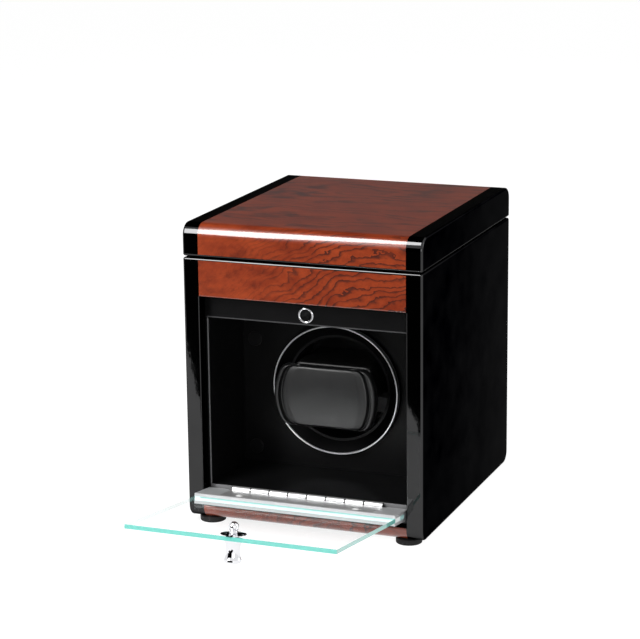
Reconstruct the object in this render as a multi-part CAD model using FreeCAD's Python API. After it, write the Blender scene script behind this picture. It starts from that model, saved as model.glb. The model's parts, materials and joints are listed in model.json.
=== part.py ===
import FreeCAD, Part
import math
import os

# A single watch winder box: a lacquered case with a glass drop-down door, a storage tray under a hinged
# lid, and a belt-driven drum that turns a watch cushion.
# Millimetres. The origin is on the floor, under the centre of the case. The front faces -Y and +Z is up.

# Case
CASE_WIDTH = 180.0
CASE_DEPTH = 208.0
BODY_HEIGHT = 194.5
LID_HEIGHT = 23.5
LID_GAP = 1.0
SIDE_THICK = 12.0
BOARD = 10.0
CORNER_ROUND = 9.0
EDGE_ROUND = 1.6
OPENING_ROUND = 1.0
VENEER = 0.6
FASCIA_HEIGHT = 28.0

# Feet
FOOT_HEIGHT = 4.0
FOOT_R = 9.5
FOOT_INSET_X = 14.0
FOOT_INSET_Y = 12.0
FOOT_ROUND = 0.8
FOOT_SCREW_RISE = 1.2

# Winding chamber
BAR_HEIGHT = 17.5
BAR_DEPTH = 12.0
LINING = 2.0
FLOOR_RISE = 13.5
FLOOR_THICK = 3.0
BEARER_DEPTH = 10.0
PANEL_THICK = 6.0

# Storage tray
TRAY_WALL = 3.0
TRAY_LIP = 3.5
LID_LINING = 3.0

# Screws and fits
SCREW_R = 1.5
SCREW_HEAD_R = 2.8
SCREW_HEAD = 1.6
FIT = 0.05
RUN = 0.06
MOVE_CLEAR = 0.3
TRAY_CLEAR = 0.3

# Glass door, hinged along its lower edge and lying open
DOOR_TILT = 8.0
DOOR_SIDE_CLEAR = 1.5
DOOR_TOP_CLEAR = 2.0
HINGE_DROP = 1.5
KNUCKLE_COUNT = 8
KNUCKLE_LENGTH = 14.6
KNUCKLE_GAP = 0.6
KNUCKLE_R = 2.2
DOOR_PIN_R = 1.1
LEAF = 0.8
MOVING_LEAF_REACH = 24.0
FIXED_LEAF_DROP = 8.5
LEAF_SCREW_X = 44.5
CHANNEL_BACK = 0.6
CHANNEL_REACH = 27.0
CHANNEL_THICK = 7.6
CHANNEL_SLOT_START = 8.0
GLASS_THICK = 3.0
CLAMP_SCREW_REACH = 20.0

# Door knob, ball stud and catch
CATCH_DROP = 10.0
KNOB_LENGTH = 16.0
KNOB_BASE_R = 6.8
KNOB_WAIST_R = 4.9
KNOB_WAIST_DROP = 8.8
KNOB_FLARE = 0.3
KNOB_SWELL = 0.35
KNOB_END_R = 6.0
KNOB_EDGE = 1.2
KNOB_THREAD = 8.0
STUD_SHANK_R = 2.0
STUD_FLANGE_R = 8.8
STUD_FLANGE = 1.6
STUD_NECK_R = 2.1
STUD_HEIGHT = 9.0
BALL_R = 3.6
SOCKET_FLANGE_R = 5.8
SOCKET_TUBE_R = 5.2
SOCKET_BORE_R = 4.3
SOCKET_PROUD = 1.0
SOCKET_DEPTH = 9.0

# Drum
DRUM_R = 49.0
DRUM_DEPTH = 44.0
DRUM_PROUD = 7.5
DRUM_GAP = 1.5
CUP_BACK = 3.0
CUP_WALL = 2.5
WALL_SPACE = 2.5
TRIM_WALL = 1.4
TRIM_DEPTH = 4.0
TRIM_PROUD = 0.8
RIM_WIDTH = 5.1
FUNNEL_DEPTH = 5.0
STEP_WIDTH = 2.0
STEP_DEPTH = 7.0
HUB_R = 12.0
AXLE_R = 4.0
BUSH_WALL = 2.0
BUSH_LENGTH = 8.0
BOSS_WALL = 4.0
BOSS_LENGTH = 18.0
COLLAR_R = 7.0
COLLAR_LENGTH = 4.0
AXLE_TAIL = 2.0
GRIP_HEIGHT = 11.0
GRIP_LENGTH = 16.0
GRIP_DROP = 9.6

# Drive
STANDOFF_LENGTH = 40.0
STANDOFF_R = 4.0
STANDOFF_INSET = 11.5
STANDOFF_LOW = 11.5
STANDOFF_HIGH = 95.0
CAP_R = 5.5
CAP_THICK = 1.5
CAP_PROUD = 0.4
CAP_EDGE = 0.3
PLATE_THICK = 3.0
PLATE_MARGIN = 6.0
SEAT_GROOVE = 1.6
SEAT_WIDTH = 8.0
SEAT_BACK = 4.0
BELT_WIDTH = 6.0
BELT_THICK = 1.2
BELT_CLEAR = 0.15
PULLEY_SEAT_R = 6.0
PULLEY_FLANGE = 2.0
PULLEY_FLANGE_WIDTH = 1.5
MOTOR_X = 50.0
MOTOR_SHAFT_R = 2.0
SHAFT_SEAT = 14.0
GEARBOX_R = 12.5
GEARBOX_LENGTH = 22.0
MOTOR_R = 12.2
MOTOR_LENGTH = 31.0
TERMINAL_X = 4.0
TERMINAL_R = 1.1
TERMINAL_LENGTH = 2.5

# Cushion in two halves, sprung apart
PAD_FRONT = 23.5
PAD_HALF_WIDTH = 39.8
PAD_HALF_HEIGHT = 23.2
PAD_THICK = 9.7
PAD_CROWN = 1.6
PAD_CORNER_X = 33.0
PAD_LIP = 3.6
PAD_GROOVE = 2.4
PAD_EDGE = 2.0
SQUEEZE = 8.0
GRIP_REACH = 8.5
FINGER_ROOM = 17.0
SHELL_BACK_CLEAR = 1.5
SHELL_WALL = 6.0
SHELL_ROUND = 3.0
SHELL_FLOOR = 8.0
PLUNGER_LENGTH = 21.0
PLUNGER_CLEAR = 0.5
SPRING_X = 11.0
SPRING_R = 4.5
SPRING_WIRE = 1.0
SPRING_TURNS = 5

# Lid hinges
LID_HINGE_X = 45.0
LID_HINGE_LENGTH = 30.0
LID_BARREL_R = 2.0
LID_PIN_R = 1.0
LID_LEAF = 1.0
LID_LEAF_WIDTH = 7.0
LID_AXIS_OUT = 0.6
LEAF_SPLIT = 0.05
BUMPER_R = 4.0
BUMPER_INSET_Y = 14.0

# Rear controls
POCKET_HALF_WIDTH = 38.0
POCKET_HEIGHT = 30.0
POCKET_DEPTH = 6.0
POCKET_DROP = 15.25
CONTROL_PLATE = 1.2
CONTROL_SCREW_INSET = 4.0
JACK_X = -24.0
JACK_R = 5.3
JACK_FLANGE_R = 6.6
JACK_FLANGE = 1.3
JACK_BORE_R = 2.85
JACK_BORE_DEPTH = 9.0
JACK_PIN_R = 1.05
ROTARY_X = 18.0
ROTARY_BODY = 16.0
SWITCH_DEPTH = 7.0
BUSHING_R = 3.8
ROTARY_SHAFT_R = 3.0
ROTARY_KNOB_R = 7.0
ROTARY_KNOB_LENGTH = 6.0
SLIDER_X = -4.0
SLIDER_TRAVEL = 3.0
SLIDER_SIZE = 3.0
SLIDER_BODY_X = 14.0
SLIDER_BODY_Z = 7.0
SLIDER_PROUD = 2.5
BOARD_THICK = 1.6
BOARD_LEFT = -36.0
BOARD_RIGHT = 60.0
BOARD_HALF_HEIGHT = 18.0
CHIP_HALF_X = 9.0
CHIP_HALF_Z = 5.0
CHIP_THICK = 2.0
CAPACITOR_X = 24.0
CAPACITOR_R = 3.2
CAPACITOR_LENGTH = 7.0
WIRING_ROOM = 13.4
LEAD_R = 0.8
LEAD_BEND = 2.6

# Levels and planes that follow from the sizes above
HALF_WIDTH = CASE_WIDTH / 2
INNER_HALF = HALF_WIDTH - SIDE_THICK
FRONT = -CASE_DEPTH / 2
BACK = CASE_DEPTH / 2
RECESS = FRONT + BOARD
BACK_INNER = BACK - BOARD
BODY_BOTTOM = FOOT_HEIGHT
BODY_TOP = BODY_BOTTOM + BODY_HEIGHT
LID_BOTTOM = BODY_TOP + LID_GAP
LID_TOP = LID_BOTTOM + LID_HEIGHT
BASE_TOP = BODY_BOTTOM + BOARD
FASCIA_BOTTOM = BODY_TOP - FASCIA_HEIGHT
CHAMBER_TOP = FASCIA_BOTTOM - BAR_HEIGHT
DECK_BOTTOM = CHAMBER_TOP + LINING
FLOOR_TOP = BASE_TOP + FLOOR_RISE
FLOOR_BOTTOM = FLOOR_TOP - FLOOR_THICK
SWITCH_FRONT = BACK_INNER - SWITCH_DEPTH
BOARD_FRONT = SWITCH_FRONT - BOARD_THICK
MOTOR_BACK = BOARD_FRONT - WIRING_ROOM
GEARBOX_BACK = MOTOR_BACK - MOTOR_LENGTH
PLATE_BACK = GEARBOX_BACK - GEARBOX_LENGTH
PLATE_FRONT = PLATE_BACK - PLATE_THICK
PANEL_BACK = PLATE_FRONT - STANDOFF_LENGTH
PANEL_FRONT = PANEL_BACK - PANEL_THICK

HINGE_Y = FRONT + CHANNEL_THICK + MOVE_CLEAR
HINGE_Z = FLOOR_TOP - HINGE_DROP
RISER = HINGE_Y + KNUCKLE_R + MOVE_CLEAR
HINGE_HALF = KNUCKLE_COUNT * KNUCKLE_LENGTH / 2
DOOR_HALF = INNER_HALF - DOOR_SIDE_CLEAR
CHANNEL_TOP = -MOVE_CLEAR
CHANNEL_BOTTOM = CHANNEL_TOP - CHANNEL_THICK
GLASS_TOP = (CHANNEL_TOP + CHANNEL_BOTTOM + GLASS_THICK) / 2
GLASS_BOTTOM = GLASS_TOP - GLASS_THICK
GLASS_REACH = FASCIA_BOTTOM - DOOR_TOP_CLEAR - HINGE_Z
CATCH_Z = FASCIA_BOTTOM - CATCH_DROP
STUD_REACH = CATCH_Z - HINGE_Z
KNUCKLE_CLEAR = KNUCKLE_R + 2 * MOVE_CLEAR

DRUM_Z = (FLOOR_TOP + CHAMBER_TOP) / 2
DRUM_FRONT = PANEL_FRONT - DRUM_PROUD
DRUM_BACK = DRUM_FRONT + DRUM_DEPTH
DRUM_WALL_R = DRUM_R - TRIM_WALL
SEAT_R = DRUM_WALL_R - SEAT_GROOVE
CUP_R = SEAT_R - 2 * CUP_WALL - WALL_SPACE
FUNNEL_R = DRUM_WALL_R - RIM_WIDTH
STEP_R = CUP_R + STEP_WIDTH
CUP_FLOOR = DRUM_BACK - CUP_BACK
BOSS_BACK = PLATE_BACK + BOSS_LENGTH
BUSH_R = AXLE_R + BUSH_WALL
HUB_BACK = PLATE_FRONT - MOVE_CLEAR
COLLAR_FRONT = BOSS_BACK + MOVE_CLEAR
AXLE_BACK = COLLAR_FRONT + COLLAR_LENGTH + AXLE_TAIL
STANDOFF_X = INNER_HALF - STANDOFF_INSET
STANDOFF_LEVELS = (FLOOR_TOP + STANDOFF_LOW, FLOOR_TOP + STANDOFF_HIGH)
SEAT_END = DRUM_BACK - SEAT_BACK - CUP_BACK
SEAT_START = SEAT_END - SEAT_WIDTH
BELT_START = SEAT_START + (SEAT_WIDTH - BELT_WIDTH) / 2
MOTOR_DROP = SEAT_R - PULLEY_SEAT_R
MOTOR_Z = DRUM_Z - MOTOR_DROP

SHELL_HALF_WIDTH = CUP_R - GRIP_REACH
SHELL_HALF_HEIGHT = CUP_R - FINGER_ROOM
PAD_FACE = DRUM_FRONT - PAD_FRONT
PAD_BACK = PAD_FACE + PAD_THICK
SHELL_FRONT = PAD_BACK + SQUEEZE + MOVE_CLEAR
SHELL_BACK = CUP_FLOOR - SHELL_BACK_CLEAR
POCKET_FLOOR = SHELL_BACK - SHELL_FLOOR
PLUNGER_BACK = PAD_BACK + PLUNGER_LENGTH

LID_AXIS_Y = BACK + LID_AXIS_OUT
LID_AXIS_Z = BODY_TOP + LID_GAP / 2
LID_KNUCKLE = LID_HINGE_LENGTH / 3
LID_BARREL_CLEAR = LID_BARREL_R + MOVE_CLEAR
POCKET_BACK = BACK - POCKET_DEPTH
PLATE_OUT = POCKET_BACK + CONTROL_PLATE
POCKET_Z = DRUM_Z - POCKET_DROP
POCKET_LOW = POCKET_Z - POCKET_HEIGHT / 2
POCKET_HIGH = POCKET_Z + POCKET_HEIGHT / 2

V = FreeCAD.Vector
ALONG_X = V(1, 0, 0)
ALONG_Y = V(0, 1, 0)
ALONG_Z = V(0, 0, 1)


# Helpers

def box(x0, x1, y0, y1, z0, z1):
    return Part.makeBox(x1 - x0, y1 - y0, z1 - z0, V(x0, y0, z0))


def rod_x(radius, x0, x1, y, z):
    return Part.makeCylinder(radius, x1 - x0, V(x0, y, z), ALONG_X)


def rod_y(radius, y0, y1, x, z):
    return Part.makeCylinder(radius, y1 - y0, V(x, y0, z), ALONG_Y)


def rod_z(radius, z0, z1, x, y):
    return Part.makeCylinder(radius, z1 - z0, V(x, y, z0), ALONG_Z)


def turned(outline, centre, axis):
    """Solid of revolution about an axis along Y or Z; outline holds (radius, place along the axis)."""
    if axis == ALONG_Y:
        points = [V(radius, place, 0) for radius, place in outline]
    else:
        points = [V(radius, 0, place) for radius, place in outline]
    face = Part.Face(Part.makePolygon(points + points[:1]))
    solid = face.revolve(V(0, 0, 0), axis, 360)
    solid.translate(centre)
    return solid


def cut(shape, *tools):
    return shape.cut(list(tools)).removeSplitter()


def fuse(first, *others):
    return first.fuse(list(others)).removeSplitter()


def round_edges(shape, radius, wanted):
    return shape.makeFillet(radius, [edge for edge in shape.Edges if wanted(edge)])


def runs_along(edge, axis):
    first, last = edge.Vertexes[0].Point, edge.Vertexes[-1].Point
    length = (last - first).Length
    return len(edge.Vertexes) == 2 and length > 0 and abs((last - first).dot(axis)) > 0.999 * length


def middle(edge):
    return edge.BoundBox.Center


def near(value, target):
    return abs(value - target) < 0.01


def waste_x(y, z, up, radius):
    """What a rounded front edge along X leaves off; the board lies behind y and on the up side of z."""
    low, high = sorted((z, z + up * radius))
    strip = box(-INNER_HALF, INNER_HALF, y, y + radius, low, high)
    return strip.cut(rod_x(radius, -INNER_HALF, INNER_HALF, y + radius, z + up * radius))


def waste_z(x, y, side, low, high, radius):
    """What a rounded front edge along Z leaves off; the board lies behind y and on the given side of x."""
    first, last = sorted((x, x + side * radius))
    strip = box(first, last, y, y + radius, low, high)
    return strip.cut(rod_z(radius, low, high, x + side * radius, y + radius))


def screw_y(x, z, seat, length, direction):
    """Screw along Y. Its head sits on the plane at seat, and its shank runs towards direction."""
    shank_end = seat + direction * length
    head_end = seat - direction * SCREW_HEAD
    shank = rod_y(SCREW_R, min(seat, shank_end), max(seat, shank_end), x, z)
    head = rod_y(SCREW_HEAD_R, min(seat, head_end), max(seat, head_end), x, z)
    return fuse(head, shank)


def screw_hole_y(x, z, y0, y1):
    return rod_y(SCREW_R + FIT, y0, y1, x, z)


def save(node, *solids):
    shape = solids[0] if len(solids) == 1 else Part.makeCompound(list(solids))
    shape.exportStep("parts/" + node + ".step")


# Outer blanks, which the boards of the case and the lid are cut from

def blank(low, high, inset, rounded_level):
    """Outer block between two levels, with its long front and back corners rounded at rounded_level."""
    solid = box(-HALF_WIDTH, HALF_WIDTH, FRONT + inset, BACK - inset, low, high)

    def long_corner(edge):
        return runs_along(edge, ALONG_X) and near(middle(edge).z, rounded_level)

    return round_edges(solid, CORNER_ROUND - inset, long_corner)


def softened(solid, rim_level):
    """Rounds the edges of the two end faces and the front and back edges at the rim."""

    def outer_edge(edge):
        centre = middle(edge)
        at_end = near(abs(centre.x), HALF_WIDTH)
        at_rim = runs_along(edge, ALONG_X) and near(centre.z, rim_level)
        return at_end or at_rim

    return round_edges(solid, EDGE_ROUND, outer_edge)


def body_blank():
    return softened(blank(BODY_BOTTOM, BODY_TOP, 0, BODY_BOTTOM), BODY_TOP)


def lid_blank():
    return softened(blank(LID_BOTTOM, LID_TOP, 0, LID_TOP), LID_BOTTOM)


# Case boards

def case_sides(outer):
    """Side panels, their front edges rounded along the opening."""
    left = outer.common(box(-HALF_WIDTH, -INNER_HALF, FRONT, BACK, BODY_BOTTOM, BODY_TOP))
    right = outer.common(box(INNER_HALF, HALF_WIDTH, FRONT, BACK, BODY_BOTTOM, BODY_TOP))
    save("side_left", cut(left, waste_z(-INNER_HALF, FRONT, -1, BASE_TOP, FASCIA_BOTTOM, OPENING_ROUND)))
    save("side_right", cut(right, waste_z(INNER_HALF, FRONT, 1, BASE_TOP, FASCIA_BOTTOM, OPENING_ROUND)))


def body_skin(low, high):
    """Veneer on the front of the body between two levels."""
    inner = blank(BODY_BOTTOM + VENEER, BODY_TOP, VENEER, BODY_BOTTOM + VENEER)
    front = box(-INNER_HALF, INNER_HALF, FRONT, FRONT + CORNER_ROUND, low, high)
    return blank(BODY_BOTTOM, BODY_TOP, 0, BODY_BOTTOM).cut(inner).common(front)


def bottom_and_fascia(outer):
    lower_waste = waste_x(FRONT, BASE_TOP, -1, OPENING_ROUND)
    upper_waste = waste_x(FRONT, FASCIA_BOTTOM, 1, OPENING_ROUND)
    base_skin = cut(body_skin(BODY_BOTTOM, BASE_TOP), lower_waste)
    fascia_skin = cut(body_skin(FASCIA_BOTTOM, BODY_TOP - EDGE_ROUND), upper_waste)
    base = outer.common(box(-INNER_HALF, INNER_HALF, FRONT, BACK, BODY_BOTTOM, BASE_TOP))
    screws = [rod_z(SCREW_R + FIT, BODY_BOTTOM, BODY_BOTTOM + FOOT_HEIGHT, x, y) for x, y in foot_places()]
    save("bottom_board", cut(base, base_skin, lower_waste, *screws))
    fascia = outer.common(box(-INNER_HALF, INNER_HALF, FRONT, RECESS, FASCIA_BOTTOM, BODY_TOP))
    save("fascia_board", cut(fascia, fascia_skin, upper_waste))
    save("front_veneers", base_skin, fascia_skin)


def back_board(outer):
    board = outer.common(box(-INNER_HALF, INNER_HALF, BACK_INNER, BACK, BASE_TOP, BODY_TOP))
    pocket = box(-POCKET_HALF_WIDTH, POCKET_HALF_WIDTH, POCKET_BACK, BACK, POCKET_LOW, POCKET_HIGH)
    tools = [pocket]
    tools.append(rod_y(JACK_R + FIT, BACK_INNER, POCKET_BACK, JACK_X, POCKET_Z))
    tools.append(rod_y(BUSHING_R + FIT, BACK_INNER, POCKET_BACK, ROTARY_X, POCKET_Z))
    tools.append(slider_slot(BACK_INNER, POCKET_BACK))
    for x, z in control_screw_places():
        tools.append(screw_hole_y(x, z, BACK_INNER, POCKET_BACK))
    for x in (-LID_HINGE_X, LID_HINGE_X):
        tools.append(lid_hinge_mortise(x))
    save("back_board", cut(board, *tools))


def storage_deck():
    front = RECESS + BAR_DEPTH
    save("storage_deck", box(-INNER_HALF, INNER_HALF, front, BACK_INNER, DECK_BOTTOM, FASCIA_BOTTOM))


def storage_liner():
    """Velvet-covered tray boards: a floor and four walls that rise past the rim to locate the lid."""
    half_x = INNER_HALF - TRAY_CLEAR
    half_y = BACK_INNER - TRAY_CLEAR
    floor_top = FASCIA_BOTTOM + TRAY_WALL
    top = BODY_TOP + TRAY_LIP
    floor = box(-half_x, half_x, -half_y, half_y, FASCIA_BOTTOM, floor_top)
    walls = []
    for side in (-1, 1):
        outer_x, inner_x = side * half_x, side * (half_x - TRAY_WALL)
        outer_y, inner_y = side * half_y, side * (half_y - TRAY_WALL)
        walls.append(box(min(outer_x, inner_x), max(outer_x, inner_x), -half_y, half_y, floor_top, top))
        reach = half_x - TRAY_WALL
        walls.append(box(-reach, reach, min(outer_y, inner_y), max(outer_y, inner_y), floor_top, top))
    save("storage_liner", floor, *walls)


# Feet

def foot_places():
    x, y = HALF_WIDTH - FOOT_INSET_X, BACK - FOOT_INSET_Y
    return [(side_x * x, side_y * y) for side_y in (-1, 1) for side_x in (-1, 1)]


def feet():
    def lower_rim(edge):
        return near(middle(edge).z, 0) and len(edge.Vertexes) == 1

    head_top = FOOT_SCREW_RISE + SCREW_HEAD
    feet_solids, screws = [], []
    for x, y in foot_places():
        foot = round_edges(rod_z(FOOT_R, 0, FOOT_HEIGHT, x, y), FOOT_ROUND, lower_rim)
        head_space = rod_z(SCREW_HEAD_R + FIT, 0, head_top, x, y)
        shank_space = rod_z(SCREW_R + FIT, 0, FOOT_HEIGHT, x, y)
        feet_solids.append(cut(foot, head_space, shank_space))
        head = rod_z(SCREW_HEAD_R, FOOT_SCREW_RISE, head_top, x, y)
        screws.append(fuse(head, rod_z(SCREW_R, FOOT_SCREW_RISE, BODY_BOTTOM + FOOT_HEIGHT, x, y)))
    save("feet", *feet_solids)
    save("foot_screws", *screws)


# Winding chamber

def chamber_boards():
    """Covered boards of the winding chamber; the side linings have rounded front edges."""
    inner = INNER_HALF - LINING
    save("chamber_floor", box(-INNER_HALF, INNER_HALF, RISER, PANEL_FRONT, FLOOR_BOTTOM, FLOOR_TOP))
    left = box(-INNER_HALF, -inner, RISER, PANEL_FRONT, FLOOR_TOP, CHAMBER_TOP)
    right = box(inner, INNER_HALF, RISER, PANEL_FRONT, FLOOR_TOP, CHAMBER_TOP)
    save("chamber_left", cut(left, waste_z(-inner, RISER, -1, FLOOR_TOP, CHAMBER_TOP, LINING / 2)))
    save("chamber_right", cut(right, waste_z(inner, RISER, 1, FLOOR_TOP, CHAMBER_TOP, LINING / 2)))
    start = RECESS + BAR_DEPTH
    save("chamber_ceiling", box(-INNER_HALF, INNER_HALF, start, PANEL_FRONT, CHAMBER_TOP, DECK_BOTTOM))
    front = box(-INNER_HALF, INNER_HALF, RISER, RISER + BEARER_DEPTH, BASE_TOP, FLOOR_BOTTOM)
    rear = box(-INNER_HALF, INNER_HALF, PANEL_FRONT - BEARER_DEPTH, PANEL_FRONT, BASE_TOP, FLOOR_BOTTOM)
    holes = [screw_hole_y(x, fixed_screw_z(), RISER, RISER + BEARER_DEPTH / 2) for x in fixed_screw_places()]
    save("floor_bearers", cut(front, *holes), rear)


def catch():
    """Top bar with a tubular socket, whose rounded lip stands proud of the bar."""
    bar = box(-INNER_HALF, INNER_HALF, RECESS, RECESS + BAR_DEPTH, CHAMBER_TOP, FASCIA_BOTTOM)
    hole = rod_y(SOCKET_TUBE_R + FIT, RECESS, RECESS + SOCKET_DEPTH + FIT, 0, CATCH_Z)
    save("catch_bar", cut(bar, hole, waste_x(RECESS, CHAMBER_TOP, 1, OPENING_ROUND)))
    crest = V((SOCKET_BORE_R + SOCKET_FLANGE_R) / 2, -SOCKET_PROUD, 0)
    corners = [V(SOCKET_FLANGE_R, 0, 0), V(SOCKET_TUBE_R, 0, 0), V(SOCKET_TUBE_R, SOCKET_DEPTH, 0)]
    corners += [V(SOCKET_BORE_R, SOCKET_DEPTH, 0), V(SOCKET_BORE_R, 0, 0)]
    profile = [Part.LineSegment(first, last).toShape() for first, last in zip(corners, corners[1:])]
    profile.append(Part.Arc(corners[-1], crest, corners[0]).toShape())
    socket = Part.Face(Part.Wire(profile)).revolve(V(0, 0, 0), ALONG_Y, 360)
    socket.translate(V(0, RECESS, CATCH_Z))
    save("catch_socket", socket)


def standoff_places():
    return [(side * STANDOFF_X, level) for level in STANDOFF_LEVELS for side in (-1, 1)]


def winder_panel():
    def front_rim(edge):
        return len(edge.Vertexes) == 1 and near(middle(edge).y, PANEL_FRONT - CAP_PROUD)

    panel = box(-INNER_HALF, INNER_HALF, PANEL_FRONT, PANEL_BACK, BASE_TOP, DECK_BOTTOM)
    tools = [rod_y(DRUM_WALL_R + DRUM_GAP, PANEL_FRONT, PANEL_BACK, 0, DRUM_Z)]
    seat = PANEL_FRONT + CAP_THICK - CAP_PROUD + SCREW_HEAD
    caps = []
    for x, z in standoff_places():
        tools.append(rod_y(CAP_R + FIT, PANEL_FRONT, seat, x, z))
        tools.append(screw_hole_y(x, z, seat, PANEL_BACK))
        cap = rod_y(CAP_R, PANEL_FRONT - CAP_PROUD, PANEL_FRONT - CAP_PROUD + CAP_THICK, x, z)
        caps.append(round_edges(cap, CAP_EDGE, front_rim))
    save("winder_panel", cut(panel, *tools))
    save("screw_caps", *caps)


# Drive

def standoffs():
    pillars, screws = [], []
    grip = STANDOFF_LENGTH / 5
    front_seat = PANEL_FRONT + CAP_THICK - CAP_PROUD + SCREW_HEAD
    for x, z in standoff_places():
        pillar = rod_y(STANDOFF_R, PANEL_BACK, PLATE_FRONT, x, z)
        front_hole = screw_hole_y(x, z, PANEL_BACK, PANEL_BACK + grip)
        rear_hole = screw_hole_y(x, z, PLATE_FRONT - grip, PLATE_FRONT)
        pillars.append(cut(pillar, front_hole, rear_hole))
        screws.append(screw_y(x, z, front_seat, PANEL_BACK + grip - front_seat, 1))
        screws.append(screw_y(x, z, PLATE_BACK, PLATE_THICK + grip, -1))
    save("standoffs", *pillars)
    save("standoff_screws", *screws)


def drive_plate():
    half = STANDOFF_X + PLATE_MARGIN
    low, high = STANDOFF_LEVELS[0] - PLATE_MARGIN, STANDOFF_LEVELS[1] + PLATE_MARGIN
    plate = box(-half, half, PLATE_FRONT, PLATE_BACK, low, high)
    plate = round_edges(plate, PLATE_MARGIN / 2, lambda edge: runs_along(edge, ALONG_Y))
    boss = rod_y(BUSH_R + BOSS_WALL, PLATE_BACK, BOSS_BACK, 0, DRUM_Z)
    tools = [rod_y(BUSH_R + FIT, PLATE_FRONT, BOSS_BACK, 0, DRUM_Z)]
    tools.append(rod_y(2 * MOTOR_SHAFT_R, PLATE_FRONT, PLATE_BACK, MOTOR_X, MOTOR_Z))
    for x, z in standoff_places():
        tools.append(screw_hole_y(x, z, PLATE_FRONT, PLATE_BACK))
    save("drive_plate", cut(fuse(plate, boss), *tools))


def axle_bushes():
    bushes = []
    for start in (PLATE_FRONT, BOSS_BACK - BUSH_LENGTH):
        ring = rod_y(BUSH_R, start, start + BUSH_LENGTH, 0, DRUM_Z)
        bushes.append(cut(ring, rod_y(AXLE_R + RUN, start, start + BUSH_LENGTH, 0, DRUM_Z)))
    save("axle_bushes", *bushes)


def motor_unit():
    gearbox = rod_y(GEARBOX_R, PLATE_BACK, GEARBOX_BACK, MOTOR_X, MOTOR_Z)
    gearbox = round_edges(gearbox, 1, lambda edge: len(edge.Vertexes) == 1)
    bore = rod_y(MOTOR_SHAFT_R + RUN, PLATE_BACK, PLATE_BACK + SHAFT_SEAT + MOVE_CLEAR, MOTOR_X, MOTOR_Z)
    save("gearbox", cut(gearbox, bore))
    can = rod_y(MOTOR_R, GEARBOX_BACK, MOTOR_BACK, MOTOR_X, MOTOR_Z)
    can = round_edges(can, 1, lambda edge: len(edge.Vertexes) == 1)
    tag_end = MOTOR_BACK + TERMINAL_LENGTH
    tags = [rod_y(TERMINAL_R, MOTOR_BACK, tag_end, x, MOTOR_Z) for x in terminal_places()]
    save("motor", fuse(can, *tags))
    pulley_r = PULLEY_SEAT_R + PULLEY_FLANGE
    front = SEAT_START - PULLEY_FLANGE_WIDTH
    back = SEAT_END + PULLEY_FLANGE_WIDTH
    outline = [(0, front), (pulley_r, front), (pulley_r, SEAT_START), (PULLEY_SEAT_R, SEAT_START)]
    outline += [(PULLEY_SEAT_R, SEAT_END), (pulley_r, SEAT_END), (pulley_r, back), (MOTOR_SHAFT_R, back)]
    outline += [(MOTOR_SHAFT_R, PLATE_BACK + SHAFT_SEAT), (0, PLATE_BACK + SHAFT_SEAT)]
    save("motor_pulley", turned(outline, V(MOTOR_X, 0, MOTOR_Z), ALONG_Y))


def belt_outline(grow):
    """Closed line round the drum's seat and the pulley's seat: two arcs and two straight tangents."""
    big, small = SEAT_R + grow, PULLEY_SEAT_R + grow
    span = math.hypot(MOTOR_X, MOTOR_DROP)
    toward = math.atan2(-MOTOR_DROP, MOTOR_X)
    lean = math.acos((big - small) / span)

    def on_drum(angle):
        return V(big * math.cos(angle), BELT_START, DRUM_Z + big * math.sin(angle))

    def on_pulley(angle):
        return V(MOTOR_X + small * math.cos(angle), BELT_START, MOTOR_Z + small * math.sin(angle))

    upper, lower = toward + lean, toward - lean
    edges = [Part.Arc(on_drum(upper), on_drum(toward + math.pi), on_drum(lower)).toShape()]
    edges.append(Part.LineSegment(on_drum(lower), on_pulley(lower)).toShape())
    edges.append(Part.Arc(on_pulley(lower), on_pulley(toward), on_pulley(upper)).toShape())
    edges.append(Part.LineSegment(on_pulley(upper), on_drum(upper)).toShape())
    return Part.Wire(edges)


def drive_belt():
    across = V(0, BELT_WIDTH, 0)
    outside = Part.Face(belt_outline(BELT_CLEAR + BELT_THICK)).extrude(across)
    inside = Part.Face(belt_outline(BELT_CLEAR)).extrude(across)
    save("drive_belt", outside.cut(inside))


# Drum

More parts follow.
